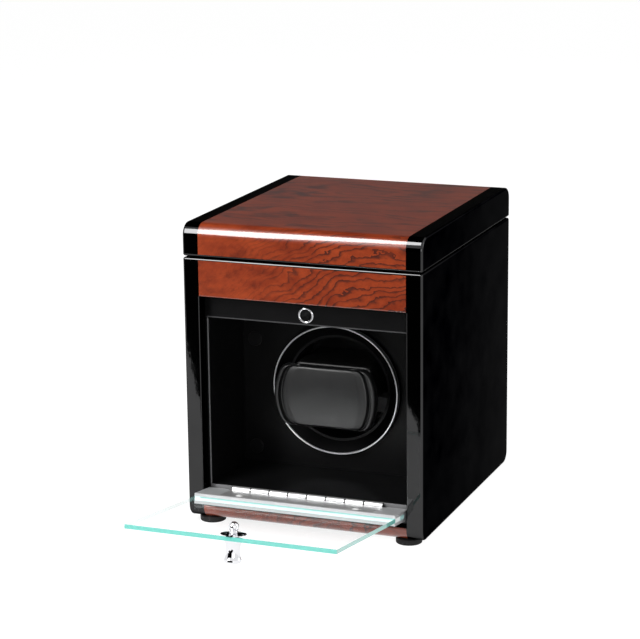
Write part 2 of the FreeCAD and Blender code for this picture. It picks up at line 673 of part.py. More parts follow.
def drum():
    skirt = DRUM_WALL_R
    outline = [(AXLE_R + FIT, CUP_FLOOR), (CUP_R, CUP_FLOOR), (CUP_R, DRUM_FRONT + STEP_DEPTH)]
    outline += [(STEP_R, DRUM_FRONT + STEP_DEPTH), (FUNNEL_R, DRUM_FRONT + FUNNEL_DEPTH)]
    outline += [(skirt - FIT, DRUM_FRONT), (skirt - FIT, DRUM_FRONT + TRIM_DEPTH)]
    outline += [(skirt, DRUM_FRONT + TRIM_DEPTH), (skirt, SEAT_START), (SEAT_R, SEAT_START)]
    outline += [(SEAT_R, SEAT_END), (skirt, SEAT_END), (skirt, DRUM_BACK)]
    outline += [(SEAT_R - CUP_WALL, DRUM_BACK), (SEAT_R - CUP_WALL, PANEL_BACK)]
    outline += [(CUP_R + CUP_WALL, PANEL_BACK), (CUP_R + CUP_WALL, DRUM_BACK)]
    outline += [(HUB_R, DRUM_BACK), (HUB_R, HUB_BACK), (AXLE_R + FIT, HUB_BACK)]
    save("drum_cup", turned(outline, V(0, 0, DRUM_Z), ALONG_Y))
    front = DRUM_FRONT - TRIM_PROUD
    ring = [(skirt, DRUM_FRONT + TRIM_DEPTH), (skirt, DRUM_FRONT), (skirt, front + TRIM_WALL / 4)]
    ring += [(skirt + TRIM_WALL / 4, front), (DRUM_R - TRIM_WALL / 4, front), (DRUM_R, front + TRIM_WALL / 4)]
    ring += [(DRUM_R, DRUM_FRONT + TRIM_DEPTH)]
    save("trim_ring", turned(ring, V(0, 0, DRUM_Z), ALONG_Y))
    save("drum_axle", rod_y(AXLE_R, CUP_FLOOR, AXLE_BACK, 0, DRUM_Z))
    collar = rod_y(COLLAR_R, COLLAR_FRONT, COLLAR_FRONT + COLLAR_LENGTH, 0, DRUM_Z)
    bore = rod_y(AXLE_R + FIT, COLLAR_FRONT, COLLAR_FRONT + COLLAR_LENGTH, 0, DRUM_Z)
    save("axle_collar", cut(collar, bore))


def grip_pads():
    """Rubber pads on the cup's wall that hold the sides of the cushion."""
    start = DRUM_FRONT + STEP_DEPTH
    inside = SHELL_HALF_WIDTH + MOVE_CLEAR
    middle_z = DRUM_Z - GRIP_DROP
    low, high = middle_z - GRIP_HEIGHT / 2, middle_z + GRIP_HEIGHT / 2
    cup = rod_y(CUP_R - FIT, start, start + GRIP_LENGTH, 0, DRUM_Z)
    pads = []
    for x0, x1 in ((-CUP_R, -inside), (inside, CUP_R)):
        block = box(x0, x1, start, start + GRIP_LENGTH, low, high)
        pads.append(block.common(cup))
    save("grip_pads", *pads)


# Cushion

def pad_outline(inset, y):
    """Front outline of the cushion: level top and bottom, sides bowed outwards."""
    corner_x, height, bow = PAD_CORNER_X - inset, PAD_HALF_HEIGHT - inset, PAD_HALF_WIDTH - inset
    points = [V(-corner_x, y, height), V(corner_x, y, height)]
    points += [V(corner_x, y, -height), V(-corner_x, y, -height)]
    right, left = V(bow, y, 0), V(-bow, y, 0)
    edges = [Part.LineSegment(points[0], points[1]).toShape()]
    edges.append(Part.Arc(points[1], right, points[2]).toShape())
    edges.append(Part.LineSegment(points[2], points[3]).toShape())
    edges.append(Part.Arc(points[3], left, points[0]).toShape())
    wire = Part.Wire(edges)
    wire.translate(V(0, 0, DRUM_Z))
    return wire


def bowed_slab(corner_x, bow, half_z, y_front, y_back):
    """Slab with level top and bottom and the cushion's bowed sides."""
    right, left = V(bow, y_front, DRUM_Z), V(-bow, y_front, DRUM_Z)
    low, high = DRUM_Z - half_z, DRUM_Z + half_z
    points = [V(-corner_x, y_front, high), V(corner_x, y_front, high)]
    points += [V(corner_x, y_front, low), V(-corner_x, y_front, low)]
    edges = [Part.LineSegment(points[0], points[1]).toShape()]
    edges.append(Part.Arc(points[1], right, points[2]).toShape())
    edges.append(Part.LineSegment(points[2], points[3]).toShape())
    edges.append(Part.Arc(points[3], left, points[0]).toShape())
    return Part.Face(Part.Wire(edges)).extrude(V(0, y_back - y_front, 0))


def crown(corner_x, bow, half_z, y_low, y_high, y_back):
    """Crowned panel: flat back, bowed sides, front face bulging from y_low at its rim to y_high."""
    rise = y_low - y_high
    dome_r = (half_z * half_z + rise * rise) / (2 * rise)
    dome = rod_x(dome_r, -bow, bow, y_high + dome_r, DRUM_Z)
    return dome.common(bowed_slab(corner_x, bow, half_z, y_high, y_back))


def cushion_pad():
    """Front half: drawn-in back rim, raised lips left and right, a crowned middle between two grooves."""
    waist = PAD_FACE + PAD_THICK / 2
    rim = Part.makeLoft([pad_outline(PAD_EDGE, PAD_FACE), pad_outline(0, waist)], True, True)
    rear = Part.makeLoft([pad_outline(0, waist), pad_outline(PAD_EDGE, PAD_BACK)], True, True)
    body = fuse(rim, rear)
    lip_corner, lip_bow = PAD_CORNER_X - PAD_LIP, PAD_HALF_WIDTH - PAD_LIP
    floor = PAD_FACE + PAD_CROWN
    well = bowed_slab(lip_corner, lip_bow, PAD_HALF_HEIGHT, PAD_FACE - PAD_EDGE, floor)
    half_z = PAD_HALF_HEIGHT - PAD_EDGE
    middle_panel = crown(lip_corner - PAD_GROOVE, lip_bow - PAD_GROOVE, half_z, floor, PAD_FACE, waist)
    plunger_x = SHELL_HALF_WIDTH - SHELL_WALL - PLUNGER_CLEAR
    plunger_z = SHELL_HALF_HEIGHT - SHELL_WALL - PLUNGER_CLEAR
    plunger = box(-plunger_x, plunger_x, PAD_BACK, PLUNGER_BACK, DRUM_Z - plunger_z, DRUM_Z + plunger_z)
    save("cushion_pad", fuse(cut(body, well), middle_panel, plunger))


def cushion_shell():
    half_x, half_z = SHELL_HALF_WIDTH, SHELL_HALF_HEIGHT
    shell = box(-half_x, half_x, SHELL_FRONT, SHELL_BACK, DRUM_Z - half_z, DRUM_Z + half_z)
    shell = round_edges(shell, SHELL_ROUND, lambda edge: runs_along(edge, ALONG_Y))
    pocket_x, pocket_z = half_x - SHELL_WALL, half_z - SHELL_WALL
    pocket = box(-pocket_x, pocket_x, SHELL_FRONT, POCKET_FLOOR, DRUM_Z - pocket_z, DRUM_Z + pocket_z)
    save("cushion_shell", cut(shell, pocket))


def cushion_springs():
    """Two coil springs between the pocket's floor and the front half's plunger."""
    start, end = PLUNGER_BACK + SPRING_WIRE, POCKET_FLOOR - SPRING_WIRE
    pitch = (end - start) / SPRING_TURNS
    coils = []
    for x in (-SPRING_X, SPRING_X):
        helix = Part.makeHelix(pitch, end - start, SPRING_R)
        helix.rotate(V(0, 0, 0), ALONG_X, -90)
        helix.translate(V(x, start, DRUM_Z))
        first = helix.Edges[0]
        tip = first.valueAt(first.FirstParameter)
        ring = Part.Wire(Part.makeCircle(SPRING_WIRE / 2, tip, first.tangentAt(first.FirstParameter)))
        coils.append(Part.Wire(helix.Edges).makePipeShell([ring], True, False))
    save("cushion_springs", *coils)


# Door, modelled flat and then tilted up about its hinge

def as_hung(shape):
    shape.rotate(V(0, 0, 0), ALONG_X, -DOOR_TILT)
    shape.translate(V(0, HINGE_Y, HINGE_Z))
    return shape


def knuckle_spans(first):
    spans = []
    for index in range(first, KNUCKLE_COUNT, 2):
        start = -HINGE_HALF + index * KNUCKLE_LENGTH
        spans.append((start + KNUCKLE_GAP / 2, start + KNUCKLE_LENGTH - KNUCKLE_GAP / 2))
    return spans


def fixed_screw_places():
    return [-LEAF_SCREW_X, 0, LEAF_SCREW_X]


def fixed_screw_z():
    return HINGE_Z - (FIXED_LEAF_DROP + KNUCKLE_CLEAR) / 2


def door_hinge():
    """Long barrel hinge: one leaf let into the door's channel, the other under the floor's edge."""
    bore = rod_x(DOOR_PIN_R + RUN, -HINGE_HALF, HINGE_HALF, 0, 0)
    seat = CHANNEL_TOP - LEAF
    moving = box(-HINGE_HALF, HINGE_HALF, -MOVING_LEAF_REACH, -KNUCKLE_CLEAR, seat, CHANNEL_TOP)
    parts = []
    for x0, x1 in knuckle_spans(0):
        tab = box(x0, x1, -KNUCKLE_CLEAR, 0, seat, CHANNEL_TOP)
        parts += [rod_x(KNUCKLE_R, x0, x1, 0, 0), tab]
    holes = [rod_z(SCREW_R + FIT, seat, CHANNEL_TOP, x, -CLAMP_SCREW_REACH) for x in clamp_places()]
    save("door_hinge_leaf", as_hung(cut(fuse(moving, *parts), bore, *holes)))
    top = HINGE_Z - KNUCKLE_CLEAR
    bottom = HINGE_Z - FIXED_LEAF_DROP
    fixed = box(-HINGE_HALF, HINGE_HALF, RISER - LEAF, RISER, bottom, top)
    parts = []
    for x0, x1 in knuckle_spans(1):
        tab = box(x0, x1, RISER - LEAF, RISER, top, HINGE_Z)
        parts += [rod_x(KNUCKLE_R, x0, x1, HINGE_Y, HINGE_Z), tab]
    pin_space = rod_x(DOOR_PIN_R + RUN, -HINGE_HALF, HINGE_HALF, HINGE_Y, HINGE_Z)
    holes = [screw_hole_y(x, fixed_screw_z(), RISER - LEAF, RISER) for x in fixed_screw_places()]
    leaf = cut(fuse(fixed, *parts), pin_space, *holes)
    length = LEAF + BEARER_DEPTH / 2
    screws = [screw_y(x, fixed_screw_z(), RISER - LEAF, length, 1) for x in fixed_screw_places()]
    save("door_hinge_fixed", leaf, *screws)
    save("door_hinge_pin", rod_x(DOOR_PIN_R, -HINGE_HALF, HINGE_HALF, HINGE_Y, HINGE_Z))


def clamp_places():
    return (-LEAF_SCREW_X, LEAF_SCREW_X)


def door_channel():
    bar = box(-DOOR_HALF, DOOR_HALF, -CHANNEL_REACH, -CHANNEL_BACK, CHANNEL_BOTTOM, CHANNEL_TOP)
    low, high = GLASS_BOTTOM - FIT, GLASS_TOP + FIT
    slot = box(-DOOR_HALF, DOOR_HALF, -CHANNEL_REACH, -CHANNEL_SLOT_START, low, high)
    half = HINGE_HALF + KNUCKLE_CLEAR
    notch = box(-half, half, -KNUCKLE_CLEAR, 0, -KNUCKLE_CLEAR, CHANNEL_TOP)
    holes = [rod_z(SCREW_R + FIT, GLASS_TOP, CHANNEL_TOP, x, -CLAMP_SCREW_REACH) for x in clamp_places()]
    leaf_half, leaf_reach = HINGE_HALF + FIT, MOVING_LEAF_REACH + FIT
    recess = box(-leaf_half, leaf_half, -leaf_reach, -CHANNEL_BACK, CHANNEL_TOP - LEAF, CHANNEL_TOP)
    save("door_channel", as_hung(cut(bar, slot, notch, recess, *holes)))
    screws = []
    leaf_top = CHANNEL_TOP
    for x in clamp_places():
        outline = [(0, leaf_top), (SCREW_HEAD_R, leaf_top), (SCREW_R, leaf_top + LEAF), (0, leaf_top + LEAF)]
        head = turned(outline, V(x, -CLAMP_SCREW_REACH, 0), ALONG_Z)
        screws.append(as_hung(fuse(head, rod_z(SCREW_R, GLASS_TOP + FIT, leaf_top, x, -CLAMP_SCREW_REACH))))
    save("channel_screws", *screws)


def door_glass():
    sheet = box(-DOOR_HALF, DOOR_HALF, -GLASS_REACH, -CHANNEL_SLOT_START - FIT, GLASS_BOTTOM, GLASS_TOP)
    hole = rod_z(STUD_SHANK_R + FIT, GLASS_BOTTOM, GLASS_TOP, 0, -STUD_REACH)
    save("door_glass", as_hung(cut(sheet, hole)))


def door_knob():
    """Waisted knob outside the glass; the ball stud screws into it through the glass."""
    base, end = GLASS_BOTTOM, GLASS_BOTTOM - KNOB_LENGTH
    thread_end = GLASS_BOTTOM - KNOB_THREAD
    waist, bulge = base - KNOB_WAIST_DROP, end + 2 * KNOB_EDGE
    flare_mid = V(KNOB_WAIST_R + KNOB_FLARE, 0, (base + waist) / 2)
    swell_mid = V(KNOB_WAIST_R + KNOB_SWELL, 0, (waist + bulge) / 2)
    profile = [Part.LineSegment(V(STUD_SHANK_R + FIT, 0, base), V(KNOB_BASE_R, 0, base)).toShape()]
    profile.append(Part.Arc(V(KNOB_BASE_R, 0, base), flare_mid, V(KNOB_WAIST_R, 0, waist)).toShape())
    profile.append(Part.Arc(V(KNOB_WAIST_R, 0, waist), swell_mid, V(KNOB_END_R, 0, bulge)).toShape())
    edge = end + KNOB_EDGE
    profile.append(Part.LineSegment(V(KNOB_END_R, 0, bulge), V(KNOB_END_R, 0, edge)).toShape())
    slack = KNOB_EDGE * (1 - math.sqrt(0.5))
    turn = [V(KNOB_END_R, 0, edge), V(KNOB_END_R - slack, 0, end + slack), V(KNOB_END_R - KNOB_EDGE, 0, end)]
    profile.append(Part.Arc(*turn).toShape())
    profile.append(Part.LineSegment(V(KNOB_END_R - KNOB_EDGE, 0, end), V(0, 0, end)).toShape())
    inner = [V(0, 0, end), V(0, 0, thread_end), V(STUD_SHANK_R + FIT, 0, thread_end)]
    inner.append(V(STUD_SHANK_R + FIT, 0, base))
    profile += [Part.LineSegment(first, last).toShape() for first, last in zip(inner, inner[1:])]
    knob = Part.Face(Part.Wire(profile)).revolve(V(0, 0, 0), ALONG_Z, 360)
    knob.translate(V(0, -STUD_REACH, 0))
    save("door_knob", as_hung(knob))


def ball_stud():
    top = GLASS_TOP + STUD_HEIGHT
    shank = rod_z(STUD_SHANK_R, GLASS_BOTTOM - KNOB_THREAD + MOVE_CLEAR, GLASS_TOP, 0, 0)
    flange = [(0, GLASS_TOP), (STUD_FLANGE_R, GLASS_TOP), (STUD_FLANGE_R, GLASS_TOP + STUD_FLANGE / 3)]
    flange += [(STUD_NECK_R + 1, GLASS_TOP + STUD_FLANGE), (STUD_NECK_R, GLASS_TOP + 2 * STUD_FLANGE)]
    flange += [(STUD_NECK_R, top - BALL_R), (0, top - BALL_R)]
    ball = Part.makeSphere(BALL_R, V(0, 0, top - BALL_R))
    stud = fuse(turned(flange, V(0, 0, 0), ALONG_Z), shank, ball)
    stud.translate(V(0, -STUD_REACH, 0))
    save("ball_stud", as_hung(stud))


# Lid

def lid():
    outer = lid_blank()
    inner = blank(LID_BOTTOM, LID_TOP - VENEER, VENEER, LID_TOP - VENEER)
    middle_zone = box(-INNER_HALF, INNER_HALF, FRONT, BACK, LID_BOTTOM + EDGE_ROUND, LID_TOP)
    skin = blank(LID_BOTTOM, LID_TOP, 0, LID_TOP).cut(inner).common(middle_zone)
    save("lid_veneer", skin)
    core = outer.cut(skin)
    under = LID_TOP - BOARD
    mortises = [lid_hinge_mortise(x) for x in (-LID_HINGE_X, LID_HINGE_X)]
    front = core.common(box(-INNER_HALF, INNER_HALF, FRONT, RECESS, LID_BOTTOM, LID_TOP))
    rear = cut(core.common(box(-INNER_HALF, INNER_HALF, BACK_INNER, BACK, LID_BOTTOM, LID_TOP)), *mortises)
    top = core.common(box(-INNER_HALF, INNER_HALF, RECESS, BACK_INNER, under, LID_TOP))
    save("lid_frame", top, front, rear)
    ends = []
    for x0, x1 in ((-HALF_WIDTH, -INNER_HALF), (INNER_HALF, HALF_WIDTH)):
        ends.append(outer.common(box(x0, x1, FRONT, BACK, LID_BOTTOM, LID_TOP)))
    save("lid_sides", *ends)
    half_x, half_y = INNER_HALF - TRAY_WALL, BACK_INNER - TRAY_WALL
    save("lid_lining", box(-half_x, half_x, -half_y, half_y, under - LID_LINING, under))


def lid_bumpers():
    bumpers = []
    for side_x in (-1, 1):
        for side_y in (-1, 1):
            x, y = side_x * (INNER_HALF + SIDE_THICK / 2), side_y * (BACK - BUMPER_INSET_Y)
            bumpers.append(rod_z(BUMPER_R, BODY_TOP, LID_BOTTOM, x, y))
    save("lid_bumpers", *bumpers)


def lid_hinge_mortise(x):
    """Room for one lid hinge in the back board and the lid's rear rail: its two leaves and its barrel."""
    half = LID_HINGE_LENGTH / 2
    start = LID_AXIS_Y - LID_BARREL_CLEAR - LID_LEAF_WIDTH
    low = LID_AXIS_Z - LEAF_SPLIT - LID_LEAF
    high = LID_AXIS_Z + LEAF_SPLIT + LID_LEAF
    leaves = box(x - half, x + half, start, BACK, low, high)
    return fuse(leaves, rod_x(LID_BARREL_CLEAR, x - half, x + half, LID_AXIS_Y, LID_AXIS_Z))


def lid_leaf(x, face, inner_face, spans):
    """One hinge leaf between two levels, with the knuckles that it carries."""
    half = LID_HINGE_LENGTH / 2
    edge = LID_AXIS_Y - LID_BARREL_CLEAR
    low, high = min(face, inner_face), max(face, inner_face)
    parts = []
    for x0, x1 in spans:
        parts.append(box(x0, x1, edge, LID_AXIS_Y, low, high))
        parts.append(rod_x(LID_BARREL_R, x0, x1, LID_AXIS_Y, LID_AXIS_Z))
    return fuse(box(x - half, x + half, edge - LID_LEAF_WIDTH, edge, low, high), *parts)


def lid_hinges():
    lower, upper = [], []
    half = LID_HINGE_LENGTH / 2
    for x in (-LID_HINGE_X, LID_HINGE_X):
        first, last = x - LID_KNUCKLE / 2, x + LID_KNUCKLE / 2
        outer = [(x - half, first - KNUCKLE_GAP), (last + KNUCKLE_GAP, x + half)]
        base = LID_AXIS_Z - LEAF_SPLIT
        pin = rod_x(LID_PIN_R, x - half, x + half, LID_AXIS_Y, LID_AXIS_Z)
        lower.append(fuse(lid_leaf(x, base, base - LID_LEAF, outer), pin))
        base = LID_AXIS_Z + LEAF_SPLIT
        hole = rod_x(LID_PIN_R + RUN, first, last, LID_AXIS_Y, LID_AXIS_Z)
        upper.append(cut(lid_leaf(x, base, base + LID_LEAF, [(first, last)]), hole))
    save("lid_hinge_lower", *lower)
    save("lid_hinge_upper", *upper)


# Rear controls and wiring

def control_screw_places():
    x = POCKET_HALF_WIDTH - CONTROL_SCREW_INSET
    levels = (POCKET_LOW + CONTROL_SCREW_INSET, POCKET_HIGH - CONTROL_SCREW_INSET)
    return [(side * x, z) for z in levels for side in (-1, 1)]


def slider_slot(y0, y1):
    half_x = SLIDER_SIZE / 2 + SLIDER_TRAVEL + MOVE_CLEAR
    half_z = SLIDER_SIZE / 2 + MOVE_CLEAR
    return box(SLIDER_X - half_x, SLIDER_X + half_x, y0, y1, POCKET_Z - half_z, POCKET_Z + half_z)


def rear_controls():
    half = POCKET_HALF_WIDTH - MOVE_CLEAR
    low, high = POCKET_LOW + MOVE_CLEAR, POCKET_HIGH - MOVE_CLEAR
    plate = box(-half, half, POCKET_BACK, PLATE_OUT, low, high)
    holes = [rod_y(JACK_R + FIT, POCKET_BACK, PLATE_OUT, JACK_X, POCKET_Z)]
    holes.append(rod_y(BUSHING_R + FIT, POCKET_BACK, PLATE_OUT, ROTARY_X, POCKET_Z))
    holes.append(slider_slot(POCKET_BACK, PLATE_OUT))
    holes += [screw_hole_y(x, z, POCKET_BACK, PLATE_OUT) for x, z in control_screw_places()]
    save("control_plate", cut(plate, *holes))
    reach = PLATE_OUT - BACK_INNER
    save("control_screws", *[screw_y(x, z, PLATE_OUT, reach, -1) for x, z in control_screw_places()])
    dc_jack()
    rear_switches()


def dc_jack():
    back = PLATE_OUT + JACK_FLANGE
    floor = back - JACK_BORE_DEPTH
    outline = [(0, SWITCH_FRONT), (JACK_R, SWITCH_FRONT), (JACK_R, PLATE_OUT), (JACK_FLANGE_R, PLATE_OUT)]
    outline += [(JACK_FLANGE_R, back), (JACK_BORE_R, back), (JACK_BORE_R, floor), (JACK_PIN_R, floor)]
    outline += [(JACK_PIN_R, back - JACK_FLANGE), (0, back - JACK_FLANGE)]
    save("dc_jack", turned(outline, V(JACK_X, 0, POCKET_Z), ALONG_Y))


def rear_switches():
    half = ROTARY_BODY / 2
    rotary = box(ROTARY_X - half, ROTARY_X + half, SWITCH_FRONT, BACK_INNER, POCKET_Z - half, POCKET_Z + half)
    rotary = fuse(rotary, rod_y(BUSHING_R, BACK_INNER, PLATE_OUT, ROTARY_X, POCKET_Z))
    shaft_start = BACK_INNER
    rotary = cut(rotary, rod_y(ROTARY_SHAFT_R + RUN, shaft_start - MOVE_CLEAR, PLATE_OUT, ROTARY_X, POCKET_Z))
    half_x, half_z = SLIDER_BODY_X / 2, SLIDER_BODY_Z / 2
    low, high = POCKET_Z - half_z, POCKET_Z + half_z
    body = box(SLIDER_X - half_x, SLIDER_X + half_x, SWITCH_FRONT, BACK_INNER, low, high)
    save("switch_bodies", rotary, body)
    knob_start = PLATE_OUT + MOVE_CLEAR
    outline = [(0, shaft_start), (ROTARY_SHAFT_R, shaft_start), (ROTARY_SHAFT_R, knob_start)]
    outline += [(ROTARY_KNOB_R, knob_start), (0.9 * ROTARY_KNOB_R, knob_start + ROTARY_KNOB_LENGTH)]
    outline += [(0, knob_start + ROTARY_KNOB_LENGTH)]
    knob = turned(outline, V(ROTARY_X, 0, POCKET_Z), ALONG_Y)
    mark = ROTARY_KNOB_R / 7
    end = knob_start + ROTARY_KNOB_LENGTH
    notch = box(ROTARY_X - mark / 2, ROTARY_X + mark / 2, end - mark, end, POCKET_Z, POCKET_Z + ROTARY_KNOB_R)
    save("turns_knob", cut(knob, notch))
    half = SLIDER_SIZE / 2
    nub_start = BACK_INNER + FIT
    save("direction_slider", box(SLIDER_X - half, SLIDER_X + half, nub_start, PLATE_OUT + SLIDER_PROUD,
                                 POCKET_Z - half, POCKET_Z + half))


def terminal_places():
    return (MOTOR_X - TERMINAL_X, MOTOR_X + TERMINAL_X)


def circuit_board():
    low, high = POCKET_Z - BOARD_HALF_HEIGHT, POCKET_Z + BOARD_HALF_HEIGHT
    save("circuit_board", box(BOARD_LEFT, BOARD_RIGHT, BOARD_FRONT, SWITCH_FRONT, low, high))
    chip_low, chip_high = POCKET_Z - CHIP_HALF_Z, POCKET_Z + CHIP_HALF_Z
    parts = [box(-CHIP_HALF_X, CHIP_HALF_X, BOARD_FRONT - CHIP_THICK, BOARD_FRONT, chip_low, chip_high)]
    for x in (-CAPACITOR_X, CAPACITOR_X):
        parts.append(rod_y(CAPACITOR_R, BOARD_FRONT - CAPACITOR_LENGTH, BOARD_FRONT, x, POCKET_Z))
    save("board_parts", *parts)


def motor_leads():
    """Two leads from the motor's tags, up behind it and back to the circuit board."""
    start_y = MOTOR_BACK + TERMINAL_LENGTH
    turn_y = (start_y + BOARD_FRONT) / 2
    end_z = POCKET_Z
    bend = min(LEAD_BEND, (turn_y - start_y) * 0.9)
    leads = []
    for x in terminal_places():
        first = V(x, turn_y - bend, MOTOR_Z)
        corner = V(x, turn_y, MOTOR_Z + bend)
        top = V(x, turn_y, end_z - bend)
        last = V(x, turn_y + bend, end_z)
        slack = bend * (1 - math.sqrt(0.5))
        low_mid = V(x, turn_y - slack, MOTOR_Z + slack)
        high_mid = V(x, turn_y + slack, end_z - slack)
        edges = [Part.LineSegment(V(x, start_y, MOTOR_Z), first).toShape()]
        edges.append(Part.Arc(first, low_mid, corner).toShape())
        edges.append(Part.LineSegment(corner, top).toShape())
        edges.append(Part.Arc(top, high_mid, last).toShape())
        edges.append(Part.LineSegment(last, V(x, BOARD_FRONT, end_z)).toShape())
        ring = Part.Wire(Part.makeCircle(LEAD_R, V(x, start_y, MOTOR_Z), ALONG_Y))
        leads.append(Part.Wire(edges).makePipeShell([ring], True, False))
    save("motor_leads", *leads)


def main():
    os.makedirs("parts", exist_ok=True)
    outer = body_blank()
    case_sides(outer)
    bottom_and_fascia(outer)
    back_board(outer)
    storage_deck()
    storage_liner()
    feet()
    chamber_boards()
    catch()
    winder_panel()
    standoffs()
    drive_plate()
    axle_bushes()
    motor_unit()
    drive_belt()
    drum()
    grip_pads()
    cushion_pad()
    cushion_shell()
    cushion_springs()
    door_hinge()
    door_channel()
    door_glass()
    door_knob()
    ball_stud()
    lid()
    lid_bumpers()
    lid_hinges()
    rear_controls()
    circuit_board()
    motor_leads()


main()
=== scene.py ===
import bmesh
import bpy
import json
import math
from mathutils import Matrix, Vector

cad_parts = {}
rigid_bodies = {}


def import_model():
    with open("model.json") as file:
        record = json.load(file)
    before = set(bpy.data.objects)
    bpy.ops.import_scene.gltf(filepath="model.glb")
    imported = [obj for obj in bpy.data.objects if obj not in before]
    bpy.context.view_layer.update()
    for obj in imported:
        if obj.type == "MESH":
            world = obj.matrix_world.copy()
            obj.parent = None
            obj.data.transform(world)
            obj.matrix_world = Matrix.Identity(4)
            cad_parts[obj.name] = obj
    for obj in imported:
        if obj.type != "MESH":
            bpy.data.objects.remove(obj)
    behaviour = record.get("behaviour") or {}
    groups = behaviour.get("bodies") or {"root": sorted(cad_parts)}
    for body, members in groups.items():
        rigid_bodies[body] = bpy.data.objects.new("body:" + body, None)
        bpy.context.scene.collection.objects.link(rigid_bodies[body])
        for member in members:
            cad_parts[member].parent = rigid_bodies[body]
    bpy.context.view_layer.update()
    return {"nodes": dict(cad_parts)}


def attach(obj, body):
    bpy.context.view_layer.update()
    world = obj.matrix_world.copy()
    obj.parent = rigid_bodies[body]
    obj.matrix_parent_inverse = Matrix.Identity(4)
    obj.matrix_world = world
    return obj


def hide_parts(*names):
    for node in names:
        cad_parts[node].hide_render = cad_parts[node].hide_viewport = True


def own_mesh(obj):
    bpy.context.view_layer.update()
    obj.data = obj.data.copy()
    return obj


# A single watch winder box on a white table: finishes for the parts of the frame, the leather cushion,
# the studio and the camera. Lengths are in millimetres, and MM turns them into metres. The lamps are
# placed in metres.

for leftover in list(bpy.data.objects):
    bpy.data.objects.remove(leftover)
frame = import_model()

MM = 0.001
DRUM_LEVEL = 90.25

# Height plus depth at which the veneer turns from the lid's front to its top
LID_BEND = (112, 140)

# Door, open at rest
DOOR_TILT = math.radians(8)
HINGE_Y = -96.1
HINGE_Z = 26.0
KNUCKLE_FIRST = -58.4
KNUCKLE_PITCH = 14.6
BARREL_REACH = 2.5
LEAF_SCREW_X = 44.5
LEAF_SCREW_REACH = 20.0
TAPE_REACH = 26.5

# Control plate at the back
CONTROL_LEVEL = 75.0
KNOB_X = 18.0
KNOB_STEP = 67.5
KNOB_STOPS = 5
SLIDER_X = -4.0
INLET_X = -24.0


class Field:
    """One socket of a finish. Arithmetic on fields adds Math nodes."""

    def __init__(self, finish, socket):
        self.finish = finish
        self.socket = socket

    def sum_of(self, operation, first, second=0.0):
        return self.finish.add("ShaderNodeMath", {"operation": operation}, {0: first, 1: second})

    def __add__(self, other):
        return self.sum_of("ADD", self, other)

    def __radd__(self, other):
        return self.sum_of("ADD", other, self)

    def __sub__(self, other):
        return self.sum_of("SUBTRACT", self, other)

    def __rsub__(self, other):
        return self.sum_of("SUBTRACT", other, self)

    def __mul__(self, other):
        return self.sum_of("MULTIPLY", self, other)

    def __rmul__(self, other):
        return self.sum_of("MULTIPLY", other, self)

    def __truediv__(self, other):
        return self.sum_of("DIVIDE", self, other)

    def __pow__(self, other):
        return self.sum_of("POWER", self, other)

    def part(self):
        """What is left after the whole number."""
        return self.sum_of("FRACT", self)

    def size(self):
        return self.sum_of("ABSOLUTE", self)

    def step(self, low, high):
        """0 below low, 1 above high, eased in between."""
        settings = {"interpolation_type": "SMOOTHSTEP"}
        return self.finish.add("ShaderNodeMapRange", settings, {0: self, 1: low, 2: high})


class Finish:
    """The node tree of one material, or of the studio's surroundings."""

    def __init__(self, tree, end):
        self.tree = tree
        self.tree.nodes.clear()
        self.end = self.tree.nodes.new(end)

    def add(self, kind, settings, inputs, output=0):
        node = self.tree.nodes.new(kind)
        for name, value in settings.items():
            setattr(node, name, value)
        for name, value in inputs.items():
            if isinstance(value, Field):
                self.tree.links.new(value.socket, node.inputs[name])
            else:
                node.inputs[name].default_value = value
        return Field(self, node.outputs[output])

    def place(self):
        """Place on the piece in millimetres."""
        at = self.add("ShaderNodeTexCoord", {}, {}, "Object")
        return self.stretch(at, 1000, 1000, 1000)

    def facing(self):
        return self.add("ShaderNodeTexCoord", {}, {}, "Normal")

    def stretch(self, at, x, y, z):
        return self.add("ShaderNodeVectorMath", {"operation": "MULTIPLY"}, {0: at, 1: (x, y, z)})

    def dot(self, at, direction):
        return self.add("ShaderNodeVectorMath", {"operation": "DOT_PRODUCT"}, {0: at, 1: direction}, "Value")

    def axis(self, at, name):
        return self.add("ShaderNodeSeparateXYZ", {}, {0: at}, name)

    def point(self, x, y, z):
        return self.add("ShaderNodeCombineXYZ", {}, {0: x, 1: y, 2: z})

    def cloud(self, at, per_mm, detail=3, roughness=0.5, warp=0.0):
        """Soft noise with per_mm lumps to the millimetre."""
        inputs = {"Vector": at, "Scale": per_mm, "Detail": detail, "Roughness": roughness,
                  "Distortion": warp}
        return self.add("ShaderNodeTexNoise", {}, inputs)

    def cells(self, at, per_mm, feature="F1"):
        return self.add("ShaderNodeTexVoronoi", {"feature": feature}, {"Vector": at, "Scale": per_mm})

    def mix(self, share, first, second):
        """Colour between two, each a field or a plain (r, g, b)."""
        colours = [c if isinstance(c, Field) else (*c, 1) for c in (first, second)]
        return self.add("ShaderNodeMix", {"data_type": "RGBA"}, {0: share, 6: colours[0], 7: colours[1]}, 2)

    def bump(self, height, depth, strength=1.0):
        """Relief of depth millimetres from a height field between 0 and 1."""
        inputs = {"Height": height, "Distance": depth * MM, "Strength": strength}
        return self.add("ShaderNodeBump", {}, inputs)

    def surface(self, **inputs):
        named = {name.replace("_", " "): value for name, value in inputs.items()}
        if "Specular IOR Level" not in named:
            named["Specular IOR Level"] = 0.5
        for name in ("Base Color", "Emission Color"):
            if name in named and not isinstance(named[name], Field):
                named[name] = (*named[name], 1)
        return self.add("ShaderNodeBsdfPrincipled", {}, named)

    def close(self, shader):
        self.tree.links.new(shader.socket, self.end.inputs[0])


FINISHES = {}


def finish(slot):
    material = bpy.data.materials.new("finish_" + slot)
    material.use_nodes = True
    FINISHES[slot] = material
    return Finish(material.node_tree, "ShaderNodeOutputMaterial")


# Finishes of the case

